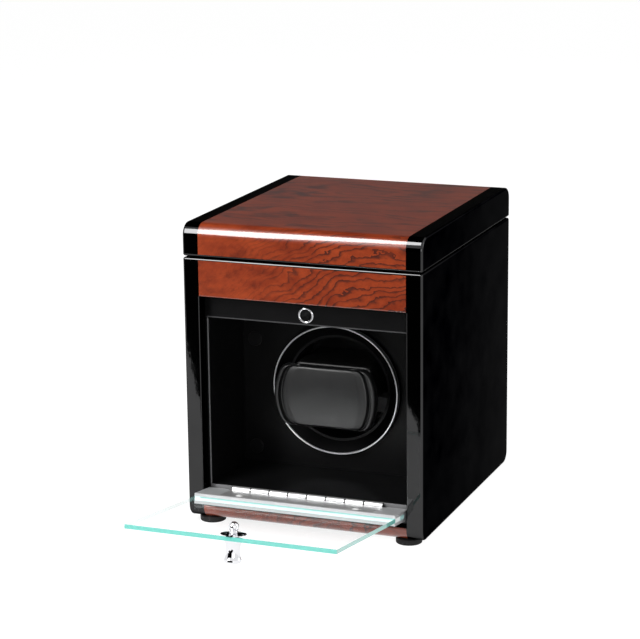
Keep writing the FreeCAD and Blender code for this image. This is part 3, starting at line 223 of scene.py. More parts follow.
def lacquer():
    """Mirror-gloss black lacquer with a trace of orange peel and polishing haze."""
    f = finish("lacquer")
    at = f.place()
    haze = f.cloud(at, 0.05, 4)
    peel = f.cloud(at, 0.35, 2)
    dust = f.cells(at, 0.11).step(0.10, 0.04)
    colour = f.mix(haze, (0.036, 0.036, 0.0365), (0.045, 0.045, 0.0455))
    gloss = 0.018 + haze * 0.03 + dust * 0.05
    f.close(f.surface(Base_Color=colour, Metallic=1.0, Roughness=gloss,
                      Specular_Tint=(0.335, 0.335, 0.335, 1), Normal=f.bump(peel, 0.012, 0.5)))


def veneer():
    """Figured orange-brown veneer under clear lacquer. The sheet runs over the lid and down the front."""
    f = finish("veneer")
    at = f.place()
    x = f.axis(at, "X")
    rise = f.axis(at, "Z") + f.axis(at, "Y")
    sheet = f.point(x, rise, 0.0)
    on_top = rise.step(*LID_BEND)
    right = x.step(-60, 20)
    wide = f.stretch(sheet, 1.0, 1.6, 1)
    sweep = f.cloud(wide, 0.014, 2)
    ripple = f.cloud(wide, 0.055, 3, 0.6)
    jitter = f.cloud(sheet, 0.30, 2)
    patch = f.cloud(f.stretch(sheet, 0.8, 1.8, 1), 0.03, 3)
    blotch = f.cloud(f.stretch(sheet, 1.0, 1.5, 1), 0.035, 5, 0.6)
    mottle = f.cloud(f.stretch(sheet, 1.0, 1.3, 1), 0.16, 4, 0.6)
    front_rings = (rise - x * 0.62 + x * x * 0.0036) / 5.6 + sweep * 6.0 + ripple * 2.5 + jitter * 0.28
    bare = 0.10 + right * 0.90
    front_line = front_rings.part().step(0.38, 0.97) ** 2.0 * bare * patch.step(0.24, 0.46)
    long_wave = f.cloud(f.stretch(sheet, 0.30, 1.0, 1), 0.030, 3)
    top_rings = rise / 17.0 + long_wave * 6.0 + ripple * 0.9
    top_dark = (top_rings.part() * 2 - 1.1).size().step(0.30, 1.0) ** 1.6
    top_line = top_dark * (0.3 + patch.step(0.34, 0.60) * 0.7)
    line = front_line * (1 - on_top) + top_line * on_top
    fine = (front_rings * 2.3 + jitter * 1.5).part().step(0.5, 1.0) * 0.20 * (1 - on_top)
    knots = (1 - right) * blotch.step(0.56, 0.40) * ripple.step(0.48, 0.62) * (1 - on_top)
    pores = f.cloud(f.stretch(sheet, 0.5, 3.2, 1), 0.9, 2).step(0.56, 0.74) * (1 - on_top)
    ground = f.mix(blotch.step(0.28, 0.72) * 0.7 + mottle.step(0.35, 0.68) * 0.3 * (1 - on_top * 0.7),
                   (0.186, 0.0220, 0.0056), (0.356, 0.0545, 0.0138))
    ground = f.mix(pores * 0.35, ground, (0.155, 0.019, 0.0058))
    ground = f.mix(fine + knots * 0.6, ground, (0.085, 0.0110, 0.0045))
    colour = f.mix(line * 0.93, ground, (0.036, 0.0062, 0.0038))
    grain = pores * 0.5 + front_line * 0.5 * (1 - on_top)
    f.close(f.surface(Base_Color=colour, Roughness=0.30 + grain * 0.12, Coat_Weight=1.0,
                      Coat_Roughness=0.015, Specular_IOR_Level=0.45,
                      Normal=f.bump(1 - grain, 0.01, 0.25)))


def leatherette():
    """Fine-grained satin black leatherette of the linings, with painted highlights: light lines along the
    front edges, lighter along the bar's lower edge.
    """
    f = finish("leatherette")
    at = f.place()
    pebble = f.cells(at, 1.5)
    rub = f.cloud(at, 0.04, 3)
    grain = pebble * 0.7 + f.cloud(at, 3.0, 2) * 0.5
    x, z = f.axis(at, "X"), f.axis(at, "Z")
    # Painted highlights: light grey lines painted along the front edges of the linings, lighter still along
    # the bar's lower edge.
    foremost = 1 - f.axis(at, "Y").step(-93.2, -92.4)
    below_bar = 1 - z.step(153.8, 154.4)
    between_stiles = 1 - x.size().step(76.4, 76.9)
    painted_edge_highlight = foremost * below_bar * between_stiles
    colour = f.mix(rub, (0.0020, 0.0020, 0.0022), (0.0038, 0.0038, 0.0041))
    edge_highlight_grey = f.mix(z.step(151.5, 152.5), (0.24, 0.24, 0.245), (0.085, 0.085, 0.088))
    colour = f.mix(painted_edge_highlight * 0.9, colour, edge_highlight_grey)
    f.close(f.surface(Base_Color=colour, Roughness=0.34 + rub * 0.12, Specular_IOR_Level=0.13,
                      Normal=f.bump(grain, 0.06, 0.55)))


def velvet():
    """Short black pile of the tray and the lid's lining."""
    f = finish("velvet")
    at = f.place()
    pile = f.cloud(at, 3.5, 2)
    brushed = f.cloud(f.stretch(at, 1.0, 0.5, 1.0), 0.05, 3).step(0.35, 0.68)
    colour = f.mix(brushed, (0.010, 0.010, 0.012), (0.032, 0.031, 0.034))
    f.close(f.surface(Base_Color=colour, Roughness=0.92, Sheen_Weight=0.5, Sheen_Roughness=0.4,
                      Normal=f.bump(pile, 0.25, 0.7)))


def raw_board():
    f = finish("mdf")
    at = f.place()
    fibre = f.cloud(at, 1.6, 4, 0.7)
    colour = f.mix(fibre, (0.20, 0.128, 0.070), (0.31, 0.215, 0.130))
    f.close(f.surface(Base_Color=colour, Roughness=0.85, Normal=f.bump(fibre, 0.1, 0.5)))


# Metals

def door_reach(f, at):
    """Distance from the door's hinge along its sheet, in millimetres."""
    along = (0.0, -math.cos(DOOR_TILT), math.sin(DOOR_TILT))
    return f.dot(at, along) - (HINGE_Y * along[1] + HINGE_Z * along[2])


def polished(slot, colour, shade, roughness, wear, satin=0.0):
    """Plated metal with faint polishing haze, more satin round the drum where that is given."""
    f = finish(slot)
    at = f.place()
    haze = f.cloud(at, 0.12, 4)
    scuff = f.cloud(f.stretch(at, 0.4, 3.0, 3.0), 1.2, 2).step(0.55, 0.75)
    deep = f.axis(at, "Y").step(-75, -65)
    f.close(f.surface(Base_Color=f.mix(haze, colour, shade), Metallic=1.0,
                      Roughness=roughness + haze * wear + scuff * wear * 0.6 + deep * satin,
                      Normal=f.bump(haze, 0.01, 0.3)))


def brushed(slot, colour, shade, roughness, along, metallic=1.0):
    """Metal drawn or brushed along one axis of the piece."""
    f = finish(slot)
    at = f.place()
    scale = [0.02 if name == along else 1.0 for name in "XYZ"]
    hair = f.cloud(f.stretch(at, *scale), 4.5, 3, 0.6)
    tone = f.cloud(at, 0.04, 3)
    f.close(f.surface(Base_Color=f.mix(hair * 0.6 + tone * 0.4, colour, shade), Metallic=metallic,
                      Roughness=roughness + hair * 0.10, Normal=f.bump(hair, 0.008, 0.4)))


def barrel_steel():
    """Nickel-plated hinge drawn along its barrel. Painted light: the barrel is painted lighter than the
    leaves as a painted highlight, the gaps between the knuckles carry painted shade, and the screw heads are
    painted near-white as painted glints.
    """
    f = finish("hinge_steel")
    at = f.place()
    hair = f.cloud(f.stretch(at, 0.02, 1.0, 1.0), 4.5, 3, 0.6)
    tone = f.cloud(at, 0.04, 3)
    x = f.axis(at, "X")
    reach = door_reach(f, at)
    # Barrel painted lighter than the leaves: a painted highlight on the round knuckles.
    barrel = 1 - reach.step(BARREL_REACH - 0.2, BARREL_REACH + 0.2)
    # Painted shade: near-black lines where the knuckles meet, standing in for the shade in the gaps between
    # them.
    knuckle_gap_shade = 1 - (((x - KNUCKLE_FIRST) / KNUCKLE_PITCH + 0.5).part() - 0.5).size().step(0.030, 0.048)
    across, along = x.size() - LEAF_SCREW_X, reach - LEAF_SCREW_REACH
    # Screw heads painted near-white and less metallic: painted glints.
    screw_head_glint = 1 - (across * across + along * along).step(7.0, 8.6)
    colour = f.mix(hair * 0.6 + tone * 0.4, (0.64, 0.64, 0.64), (0.52, 0.52, 0.53))
    colour = f.mix(barrel, colour, (0.80, 0.80, 0.80))
    colour = f.mix(screw_head_glint, colour, (0.93, 0.93, 0.93))
    colour = f.mix(knuckle_gap_shade * barrel * 0.95, colour, (0.010, 0.010, 0.010))
    f.close(f.surface(Base_Color=colour, Metallic=0.7 - screw_head_glint * 0.5, Roughness=0.30 + hair * 0.10,
                      Normal=f.bump(hair, 0.008, 0.4)))


def cast(slot, colour, shade, roughness, per_mm, metallic):
    """Cast, sintered or powder-coated metal with a fine pitted skin."""
    f = finish(slot)
    at = f.place()
    pit = f.cells(at, per_mm)
    tone = f.cloud(at, 0.08, 4)
    f.close(f.surface(Base_Color=f.mix(tone, colour, shade), Metallic=metallic,
                      Roughness=roughness + pit * 0.12, Normal=f.bump(pit, 0.05, 0.6)))


# Mouldings and rubber

def moulded(slot, colour, shade, roughness, per_mm, depth, shine=0.5):
    """Moulded plastic with a spark-textured skin."""
    f = finish(slot)
    at = f.place()
    skin = f.cloud(at, per_mm, 3, 0.6)
    flow = f.cloud(f.stretch(at, 1.0, 0.3, 1.0), 0.06, 3)
    f.close(f.surface(Base_Color=f.mix(flow, colour, shade), Roughness=roughness + skin * 0.10,
                      Specular_IOR_Level=shine, Normal=f.bump(skin, depth, 0.5)))


def control_face():
    """Textured control plate with printed marks round the turns knob, the slider and the inlet."""
    f = finish("control_plastic")
    at = f.place()
    skin = f.cloud(at, 1.8, 3, 0.6)
    flow = f.cloud(at, 0.06, 3)
    x, z = f.axis(at, "X"), f.axis(at, "Z") - CONTROL_LEVEL
    aside = x - KNOB_X
    turn = f.add("ShaderNodeMath", {"operation": "ARCTAN2"}, {0: aside, 1: z})
    out = (aside * aside + z * z) ** 0.5
    mark = ((turn / (2 * math.pi) + 0.05).part() - 0.05) * (360 / KNOB_STEP)
    off = ((mark + 0.5).part() - 0.5).size()
    scale = (1 - off.step(0.025, 0.040)) * out.step(9.0, 9.2) * (1 - out.step(11.4, 11.6))
    scale = scale * (1 - mark.step(KNOB_STOPS - 0.7, KNOB_STOPS - 0.6))
    beside = (x - SLIDER_X).size() - 8.6
    dots = 1 - (beside * beside + z * z).step(0.5, 0.8)
    inlet = x - INLET_X
    far = (inlet * inlet + z * z) ** 0.5
    ring = 1 - (far - 8.2).size().step(0.20, 0.32)
    colour = f.mix(flow, (0.022, 0.022, 0.023), (0.034, 0.034, 0.035))
    colour = f.mix(scale + dots + ring, colour, (0.62, 0.62, 0.62))
    f.close(f.surface(Base_Color=colour, Roughness=0.48 + skin * 0.10, Normal=f.bump(skin, 0.08, 0.5)))


def rubber(slot, colour, shade):
    f = finish(slot)
    at = f.place()
    bloom = f.cloud(at, 0.18, 4)
    speck = f.cloud(at, 2.4, 2)
    f.close(f.surface(Base_Color=f.mix(bloom.step(0.35, 0.75), colour, shade), Roughness=0.70 + bloom * 0.2,
                      Specular_IOR_Level=0.35, Normal=f.bump(speck, 0.05, 0.5)))


def circuit_green():
    """Solder mask with copper tracks showing as lighter lines and tinned pads."""
    f = finish("board_green")
    at = f.place()
    x, z = f.axis(at, "X"), f.axis(at, "Z")
    bend = (f.cells(f.stretch(at, 1.0, 0.0, 1.0), 0.12) * 3).part()
    track = ((x * 0.28 + bend).part() * 2 - 1).size().step(0.78, 0.84)
    run = ((z * 0.19 + bend * 2).part() * 2 - 1).size().step(0.80, 0.86)
    pad = f.cells(f.stretch(at, 1.0, 0.0, 1.0), 0.34).step(0.20, 0.16)
    colour = f.mix(track * 0.5 + run * 0.4, (0.010, 0.105, 0.035), (0.022, 0.21, 0.075))
    colour = f.mix(pad, colour, (0.62, 0.60, 0.55))
    f.close(f.surface(Base_Color=colour, Roughness=0.35 + pad * 0.1, Metallic=pad * 0.8,
                      Normal=f.bump(track + run, 0.05, 0.6)))


def door_sheet_glass():
    """Clear float glass: faces nearly nothing, polished edges aqua, pale tape where the channel holds it.
    The part held in the channel also emits light, aqua nearer the hinge and pale grey further out: painted
    light standing in for the lit tape and glass edge in the slot.
    """
    f = finish("glass")
    at = f.place()
    lie, fall = math.cos(DOOR_TILT), math.sin(DOOR_TILT)
    reach = door_reach(f, at)
    taped = 1 - reach.step(TAPE_REACH - 0.5, TAPE_REACH + 0.5)
    edge = 1 - f.dot(f.facing(), (0.0, fall, lie)).size().step(0.25, 0.6)
    inside = f.add("ShaderNodeNewGeometry", {}, {}, "Backfacing")
    ground = f.cloud(f.stretch(at, 0.05, 1.0, 4.0), 0.5, 2)
    smear = f.cloud(at, 0.02, 3)
    rim = f.mix(ground, (0.13, 0.60, 0.52), (0.26, 0.78, 0.69))
    solid = edge * (1 - inside * 0.72)
    colour = f.mix(edge, (0.92, 1.0, 0.985), rim)
    colour = f.mix(taped, colour, (0.70, 0.74, 0.74))
    # Painted light: the glass held in the channel emits aqua nearer the hinge and pale grey further out,
    # standing in for the lit tape and glass edge in the slot.
    painted_slot_light_colour = f.mix(reach.step(16.2, 17.2), (0.03, 0.20, 0.18), (0.45, 0.48, 0.48))
    glow = f.mix(taped, (0.0, 0.0, 0.0), painted_slot_light_colour)
    clear = (1 - edge) * (1 - taped)
    f.close(f.surface(Base_Color=colour, Metallic=clear, Roughness=0.16 - clear * 0.15 + smear * 0.01,
                      Alpha=(0.05 + smear * 0.02) * clear + solid * 0.95 + taped * 0.95, Coat_Weight=edge,
                      Emission_Color=glow, Emission_Strength=1.0))


# Cushion leather

def cushion_leather():
    """Soft black leather, finely grained, a little satin from wear."""
    f = finish("cushion_leather")
    at = f.place()
    grain = f.cells(at, 1.15, "DISTANCE_TO_EDGE").step(0.0, 0.35)
    crease = f.cloud(f.stretch(at, 1.0, 1.0, 1.8), 0.32, 4, 0.6)
    rub = f.cloud(at, 0.05, 3)
    colour = f.mix(rub.step(0.3, 0.7), (0.0030, 0.0030, 0.0032), (0.0055, 0.0055, 0.0058))
    colour = f.mix((1 - grain) * 0.5, colour, (0.0025, 0.0025, 0.0027))
    satin = 0.28 + rub * 0.10 + (1 - grain) * 0.08
    f.close(f.surface(Base_Color=colour, Roughness=satin, Specular_IOR_Level=0.56,
                      Normal=f.bump(grain * 0.6 + crease * 0.6, 0.07, 0.5)))


def all_finishes():
    lacquer()
    veneer()
    leatherette()
    velvet()
    raw_board()
    polished("chrome", (0.78, 0.78, 0.80), (0.70, 0.70, 0.72), 0.035, 0.03, 0.30)
    barrel_steel()
    polished("lid_brass", (0.72, 0.50, 0.19), (0.58, 0.38, 0.13), 0.16, 0.10)
    brushed("aluminium", (0.78, 0.79, 0.80), (0.66, 0.67, 0.68), 0.30, "X", 0.55)
    brushed("zinc_steel", (0.60, 0.60, 0.62), (0.46, 0.46, 0.48), 0.28, "Y")
    brushed("motor_steel", (0.56, 0.56, 0.57), (0.44, 0.44, 0.45), 0.26, "Y")
    cast("plate_steel", (0.17, 0.17, 0.18), (0.23, 0.23, 0.24), 0.50, 1.4, 0.0)
    cast("bush_bronze", (0.46, 0.29, 0.12), (0.58, 0.40, 0.20), 0.36, 2.2, 1.0)
    cast("gear_zinc", (0.40, 0.40, 0.41), (0.52, 0.52, 0.53), 0.40, 1.1, 1.0)
    moulded("drum_plastic", (0.0030, 0.0030, 0.0033), (0.0050, 0.0050, 0.0053), 0.32, 2.2, 0.02, 0.12)
    moulded("cap_plastic", (0.0024, 0.0024, 0.0026), (0.0044, 0.0044, 0.0047), 0.30, 2.6, 0.02, 0.22)
    moulded("pulley_plastic", (0.70, 0.68, 0.62), (0.80, 0.79, 0.74), 0.45, 1.5, 0.02)
    moulded("chip_black", (0.014, 0.014, 0.015), (0.026, 0.026, 0.028), 0.45, 2.8, 0.03)
    control_face()
    moulded("knob_plastic", (0.030, 0.030, 0.031), (0.044, 0.044, 0.046), 0.28, 2.0, 0.03)
    moulded("lead_red", (0.44, 0.018, 0.016), (0.55, 0.035, 0.030), 0.40, 1.0, 0.02)
    rubber("grip_rubber", (0.030, 0.030, 0.031), (0.055, 0.055, 0.057))
    rubber("foot_rubber", (0.010, 0.010, 0.010), (0.022, 0.022, 0.022))
    rubber("belt_rubber", (0.012, 0.012, 0.012), (0.024, 0.024, 0.024))
    circuit_green()
    door_sheet_glass()
    cushion_leather()


# Cushion, made in millimetres round the drum's axis and then put in its place

PAD_HALF_WIDTH = 39.8
PAD_HALF_HEIGHT = 23.2
PAD_BOW_R = 42.97
PAD_CORNER = 4.5
PAD_FACE = -61.0
LIP = 3.6
GROOVE = 2.4
GROOVE_DEPTH = 3.4
RIM = 0.6
ROLL = 1.6
DOME = 1.9
SIDE_STRIP = 7.0
# Inset and depth of each ring of the front half's side and back
PAD_RINGS = [(0.2, 3.7), (0.0, 4.5), (0.0, 5.6), (0.3, 7.0), (0.9, 8.5), (1.9, 9.4), (3.2, 9.7), (9.0, 9.7),
             (16.0, 9.7)]
SIM_SCALE = 10.0
SPRING_X = 11.0
SPRING_R = 4.5
SPRING_WIRE_R = 0.5
SPRING_TURNS = 5
SPRING_FRONT = -29.3
SPRING_BACK = -7.0


def pad_half_width(z):
    """Half the cushion's width at a height from its middle: a bowed side with a rounded corner."""
    side = PAD_HALF_WIDTH - PAD_BOW_R + math.sqrt(PAD_BOW_R ** 2 - z * z)
    over = max(0.0, abs(z) - (PAD_HALF_HEIGHT - RIM - PAD_CORNER))
    return side - (PAD_CORNER - math.sqrt(max(0.0, PAD_CORNER ** 2 - over * over)))


def ease(value, low, high):
    share = min(1.0, max(0.0, (value - low) / (high - low)))
    return share * share * (3 - 2 * share)


def pad_sink(edge, z):
    """How far the cushion's face lies behind its foremost plane, at a distance in from its side."""
    lip = 1.2 * (1 - ease(edge, 0.0, 1.4))
    groove = GROOVE_DEPTH * ease(edge, LIP - 0.7, LIP + 0.4)
    groove *= 1 - ease(edge, LIP + GROOVE - 1.0, LIP + GROOVE + 0.5)
    crown = 0.8 * (1 - ease(edge, LIP + GROOVE, LIP + GROOVE + 7.0)) * ease(edge, LIP, LIP + GROOVE)
    over = max(0.0, abs(z) - (PAD_HALF_HEIGHT - RIM - ROLL)) / ROLL
    roll = 1.3 * (1 - math.sqrt(max(0.0, 1 - over * over)))
    dome = DOME * (z / PAD_HALF_HEIGHT) ** 2
    return max(lip, roll) + groove + crown + dome


def pad_columns():
    """Places across the cushion: fixed distances in from each side, even steps over the middle."""
    steps = [0.0, 0.5, 1.1, 1.8, 2.4, 2.9, 3.3, 3.7, 4.2, 4.8, 5.3, 5.8, 6.3, SIDE_STRIP]
    columns = [("left", e) for e in steps]
    count = 44
    columns += [("middle", -1 + 2 * (i + 1) / (count + 1)) for i in range(count)]
    columns += [("right", e) for e in reversed(steps)]
    return columns


def pad_point(column, z):
    half = pad_half_width(z) - RIM
    where, value = column
    if where == "middle":
        x = value * (half - SIDE_STRIP)
    else:
        x = (value - half) if where == "left" else (half - value)
    edge = half - abs(x)
    return Vector((x, PAD_FACE + pad_sink(edge, z), z)), edge


def pad_rows():
    top = PAD_HALF_HEIGHT - RIM
    near = [0.0, 0.12, 0.35, 0.65, 1.05, 1.6, 2.4]
    count = 34
    inner = top - near[-1]
    middle = [inner * (-1 + 2 * (i + 1) / (count + 1)) for i in range(count)]
    return [step - top for step in near] + middle + [top - step for step in reversed(near)]


def bridge(bm, first, second):
    """Faces between two closed rings of points."""
    count = len(first)
    for i in range(count):
        bm.faces.new((first[i], first[(i + 1) % count], second[(i + 1) % count], second[i]))


def new_piece(name, bm, slot):
    """Mesh piece from millimetres round the drum's axis, in the finish of a slot."""
    mesh = bpy.data.meshes.new(name)
    bmesh.ops.recalc_face_normals(bm, faces=bm.faces)
    bm.to_mesh(mesh)
    bm.free()
    mesh.transform(Matrix.Translation((0, 0, DRUM_LEVEL * MM)) @ Matrix.Scale(MM, 4))
    for polygon in mesh.polygons:
        polygon.use_smooth = True
    piece = bpy.data.objects.new(name, mesh)
    bpy.context.scene.collection.objects.link(piece)
    mesh.materials.append(FINISHES[slot])
    return piece


def cushion_front():
    """Front half of the cushion: two lips, a groove inside each, and a crowned leather face."""
    bm = bmesh.new()
    rows, columns = pad_rows(), pad_columns()
    held = set()
    grid = []
    for z in rows:
        line = []
        for column in columns:
            place, edge = pad_point(column, z)
            vert = bm.verts.new(place)
            if LIP - 0.1 < edge < LIP + GROOVE:
                held.add(vert)
            line.append(vert)
        grid.append(line)
    for low, high in zip(grid, grid[1:]):
        for i in range(len(columns) - 1):
            bm.faces.new((low[i], low[i + 1], high[i + 1], high[i]))
    right_side = [line[-1] for line in grid[1:-1]]
    left_side = [line[0] for line in grid[-2:0:-1]]
    rim = grid[0] + right_side + grid[-1][::-1] + left_side
    held.update(rim)
    loop = rim
    for inset, depth in PAD_RINGS:
        scale_x = (PAD_HALF_WIDTH - inset) / (PAD_HALF_WIDTH - RIM)
        scale_z = (PAD_HALF_HEIGHT - inset) / (PAD_HALF_HEIGHT - RIM)
        ring = [bm.verts.new((v.co.x * scale_x, PAD_FACE + depth, v.co.z * scale_z)) for v in rim]
        bridge(bm, loop, ring)
        held.update(ring)
        loop = ring
    bm.faces.new(loop)
    bm.verts.index_update()
    pinned = [v.index for v in held]
    piece = new_piece("cushion_front_leather", bm, "cushion_leather")
    inflate(piece, pinned, 0.6, 0.6)
    return piece


def rounded_section(half_x, half_z, corner, bulge_x, bulge_z):
    """Points round a rounded rectangle whose sides swell outwards."""
    points = []
    steps = 14
    corners = [(1, 1), (-1, 1), (-1, -1), (1, -1)]
    for index, (sx, sz) in enumerate(corners):
        start = index * math.pi / 2
        for k in range(7):
            angle = start + k / 6 * math.pi / 2
            points.append((sx * (half_x - corner) + corner * math.cos(angle),
                           sz * (half_z - corner) + corner * math.sin(angle)))
        nx, nz = corners[(index + 1) % 4]
        last = points[-1]
        angle = start + math.pi / 2
        target = (nx * (half_x - corner) + corner * math.cos(angle),
                  nz * (half_z - corner) + corner * math.sin(angle))
        for k in range(1, steps):
            share = k / steps
            swell = 4 * share * (1 - share)
            x = last[0] + (target[0] - last[0]) * share
            z = last[1] + (target[1] - last[1]) * share
            if index % 2 == 0:
                z += math.copysign(bulge_z * swell, z)
            else:
                x += math.copysign(bulge_x * swell, x)
            points.append((x, z))
    return points


def cushion_rear():
    """Rear half: a leather-covered block with a pocket in front for the plunger."""
    bm = bmesh.new()
    rings = []
    for y, grow in ((-43, -1.4), (-42.6, -0.5), (-41.6, 0), (-36, 0), (-30, 0), (-24, 0), (-18, 0), (-12, 0),
                    (-6, 0), (-1, 0), (0.6, 0), (1.5, -0.5), (2, -1.4)):
        share = min(1.0, max(0.0, 1 - ((y + 20.5) / 22.5) ** 2))
        outline = rounded_section(29.9 + grow, 21.4 + grow, 4.2, 0.1 * share, 0.8 * share)
        rings.append([bm.verts.new((x, y, z)) for x, z in outline])
    for first, second in zip(rings, rings[1:]):
        bridge(bm, first, second)
    bm.faces.new(rings[-1])
    loop = rings[0]
    for half_x, half_z, y in ((24.6, 16.1, -43.0), (24.0, 15.5, -42.5), (24.0, 15.5, -6.0)):
        outline = rounded_section(half_x, half_z, 1.5, 0, 0)
        ring = [bm.verts.new((x, y, z)) for x, z in outline]
        bridge(bm, loop, ring)
        loop = ring
    bm.faces.new(loop)
    bm.verts.index_update()
    pinned = []
    for v in bm.verts:
        at_ends = v.co.y < -41 or v.co.y > 0
        if at_ends or abs(v.co.x) > 27 or abs(v.co.z) < 18:
            pinned.append(v.index)
    piece = new_piece("cushion_rear_leather", bm, "cushion_leather")
    inflate(piece, pinned, 0.8, 0.6)
    return piece


def cushion_plunger():
    """Moulded tongue behind the front half, ribbed along its sides, which slides into the rear half."""
    bm = bmesh.new()
    loop = None
    stations = [(-51.4, 0.0), (-50.6, 0.0)]
    for y in range(-49, -31, 3):
        stations += [(y, 0.0), (y + 0.8, -0.5), (y + 1.6, -0.5), (y + 2.4, 0.0)]
    stations += [(-31.2, 0.0), (-30.6, -0.4), (-30.4, -1.2)]
    for y, grow in stations:
        outline = rounded_section(23.4 + grow, 14.9 + grow, 1.6, 0, 0)
        ring = [bm.verts.new((x, y, z)) for x, z in outline]
        if loop:
            bridge(bm, loop, ring)
        else:
            bm.faces.new(ring)
        loop = ring
    bm.faces.new(loop)
    return new_piece("cushion_plunger", bm, "drum_plastic")


def cushion_springs():
    """Two wire coils between the tongue and the floor of the pocket."""
    bm = bmesh.new()
    steps, sides = SPRING_TURNS * 32, 10
    axis = Vector((0, 1, 0))
    for x in (-SPRING_X, SPRING_X):
        loop = None
        for step in range(steps + 1):
            share = step / steps
            turn = share * SPRING_TURNS * 2 * math.pi
            out = Vector((math.cos(turn), 0, math.sin(turn)))
            centre = Vector((x, SPRING_FRONT + (SPRING_BACK - SPRING_FRONT) * share, 0)) + out * SPRING_R
            ring = []
            for k in range(sides):
                angle = k / sides * 2 * math.pi
                spoke = out * math.cos(angle) + axis * math.sin(angle)
                ring.append(bm.verts.new(centre + spoke * SPRING_WIRE_R))
            if loop:
                bridge(bm, loop, ring)
            else:
                bm.faces.new(ring)
            loop = ring
        bm.faces.new(loop)
    return new_piece("cushion_coils", bm, "zinc_steel")


def relaxed(mesh, moves, still):
    """The cover's movement with its small puckers evened out between neighbours."""
    beside = [[] for _ in moves]
    for edge in mesh.edges:
        first, second = edge.vertices
        beside[first].append(second)
        beside[second].append(first)
    for _ in range(60):
        evened = []
        for index, move in enumerate(moves):
            if index in still:
                evened.append(Vector((0, 0, 0)))
            else:
                around = sum((moves[other] for other in beside[index]), Vector((0, 0, 0)))
                evened.append(move * 0.3 + around * (0.7 / len(beside[index])))
        moves = evened
    return moves


def inflate(piece, pinned, pressure, most):
    """Swells a leather cover held at its seams under pressure, no point by more than most millimetres."""
    mesh = piece.data
    start = [v.co.copy() for v in mesh.vertices]
    mesh.transform(Matrix.Scale(SIM_SCALE, 4))
    group = piece.vertex_groups.new(name="seams")
    group.add(pinned, 1.0, "REPLACE")
    cloth = piece.modifiers.new("cover", "CLOTH")
    cloth.settings.quality = 6
    cloth.settings.mass = 0.3
    cloth.settings.tension_stiffness = 18
    cloth.settings.compression_stiffness = 18
    cloth.settings.bending_stiffness = 2
    cloth.settings.use_pressure = True
    cloth.settings.uniform_pressure_force = pressure
    cloth.settings.vertex_group_mass = "seams"
    cloth.settings.effector_weights.gravity = 0
    scene = bpy.context.scene
    for number in range(1, 21):
        scene.frame_set(number)
    shaped = piece.evaluated_get(bpy.context.evaluated_depsgraph_get()).to_mesh()
    ends = [v.co / SIM_SCALE for v in shaped.vertices]
    piece.modifiers.remove(cloth)
    piece.vertex_groups.remove(group)
    scene.frame_set(1)
    limit = most * MM
    moves = []
    for first, last in zip(start, ends):
        move = last - first
        moves.append(move * min(1.0, limit / max(move.length, limit)))
    for vertex, first, move in zip(mesh.vertices, start, relaxed(mesh, moves, set(pinned))):
        vertex.co = first + move
    mesh.update()


def dress_cushion():
    front = cushion_front()
    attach(front, "cushion_front")
    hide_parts("cushion_pad")
    tongue = cushion_plunger()
    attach(tongue, "cushion_front")
    rear = cushion_rear()
    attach(rear, "cushion_rear")
    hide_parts("cushion_shell")
    coils = cushion_springs()
    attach(coils, "cushion_rear")
    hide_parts("cushion_springs")
    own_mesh(coils)


def dress_frame():
    """Gives each part of the frame the finish of its slot."""
    for node in frame["nodes"].values():
        for holder in node.material_slots:
            holder.material = FINISHES[holder.material.name.split(".")[0]]


# Studio

LAMP_AIM = Vector((0.0, 0.0, 0.12))
CAMERA_TURN, CAMERA_RISE, CAMERA_ROLL = [math.radians(v) for v in (21.2992, 14.0011, -0.6375)]
CAMERA_AIM = Vector((0, 0, 121.65))
CAMERA_AWAY, CAMERA_LEFT, CAMERA_UP = 1714.7031, 24.3041, 13.4492
FOCAL_PIXELS = 2295.1973
PICTURE_PIXELS = 640
SENSOR_WIDTH = 36.0


def stage_sheet(name, points, faces):
    mesh = bpy.data.meshes.new(name)
    mesh.from_pydata([Vector(p) * MM for p in points], [], faces)
    sheet = bpy.data.objects.new(name, mesh)
    bpy.context.scene.collection.objects.link(sheet)
    material = bpy.data.materials.new(name + "_skin")
    material.use_nodes = True
    mesh.materials.append(material)
    return Finish(material.node_tree, "ShaderNodeOutputMaterial")


def white_seen(f):
    """1 for what the camera sees straight on, in metal or through glass, else 0."""
    rays = [f.add("ShaderNodeLightPath", {}, {}, name)
            for name in ("Is Camera Ray", "Is Glossy Ray", "Is Transmission Ray")]
    return (rays[0] + rays[1] + rays[2]).step(0.0, 1.0)


def white_table():
    """White table that keeps a faint shadow of the box."""
    half = 6000
    corners = [(-half, -half, 0), (half, -half, 0), (half, half, 0), (-half, half, 0)]
    f = stage_sheet("table", corners, [(0, 1, 2, 3)])
    white = white_seen(f)
    colour = f.mix(white, (0.80, 0.80, 0.80), (0.28, 0.28, 0.28))
    glow = f.mix(white, (0.0, 0.0, 0.0), (0.95, 0.95, 0.95))
    f.close(f.surface(Base_Color=colour, Roughness=0.9, Specular_IOR_Level=0.0, Emission_Color=glow,
                      Emission_Strength=1.0))


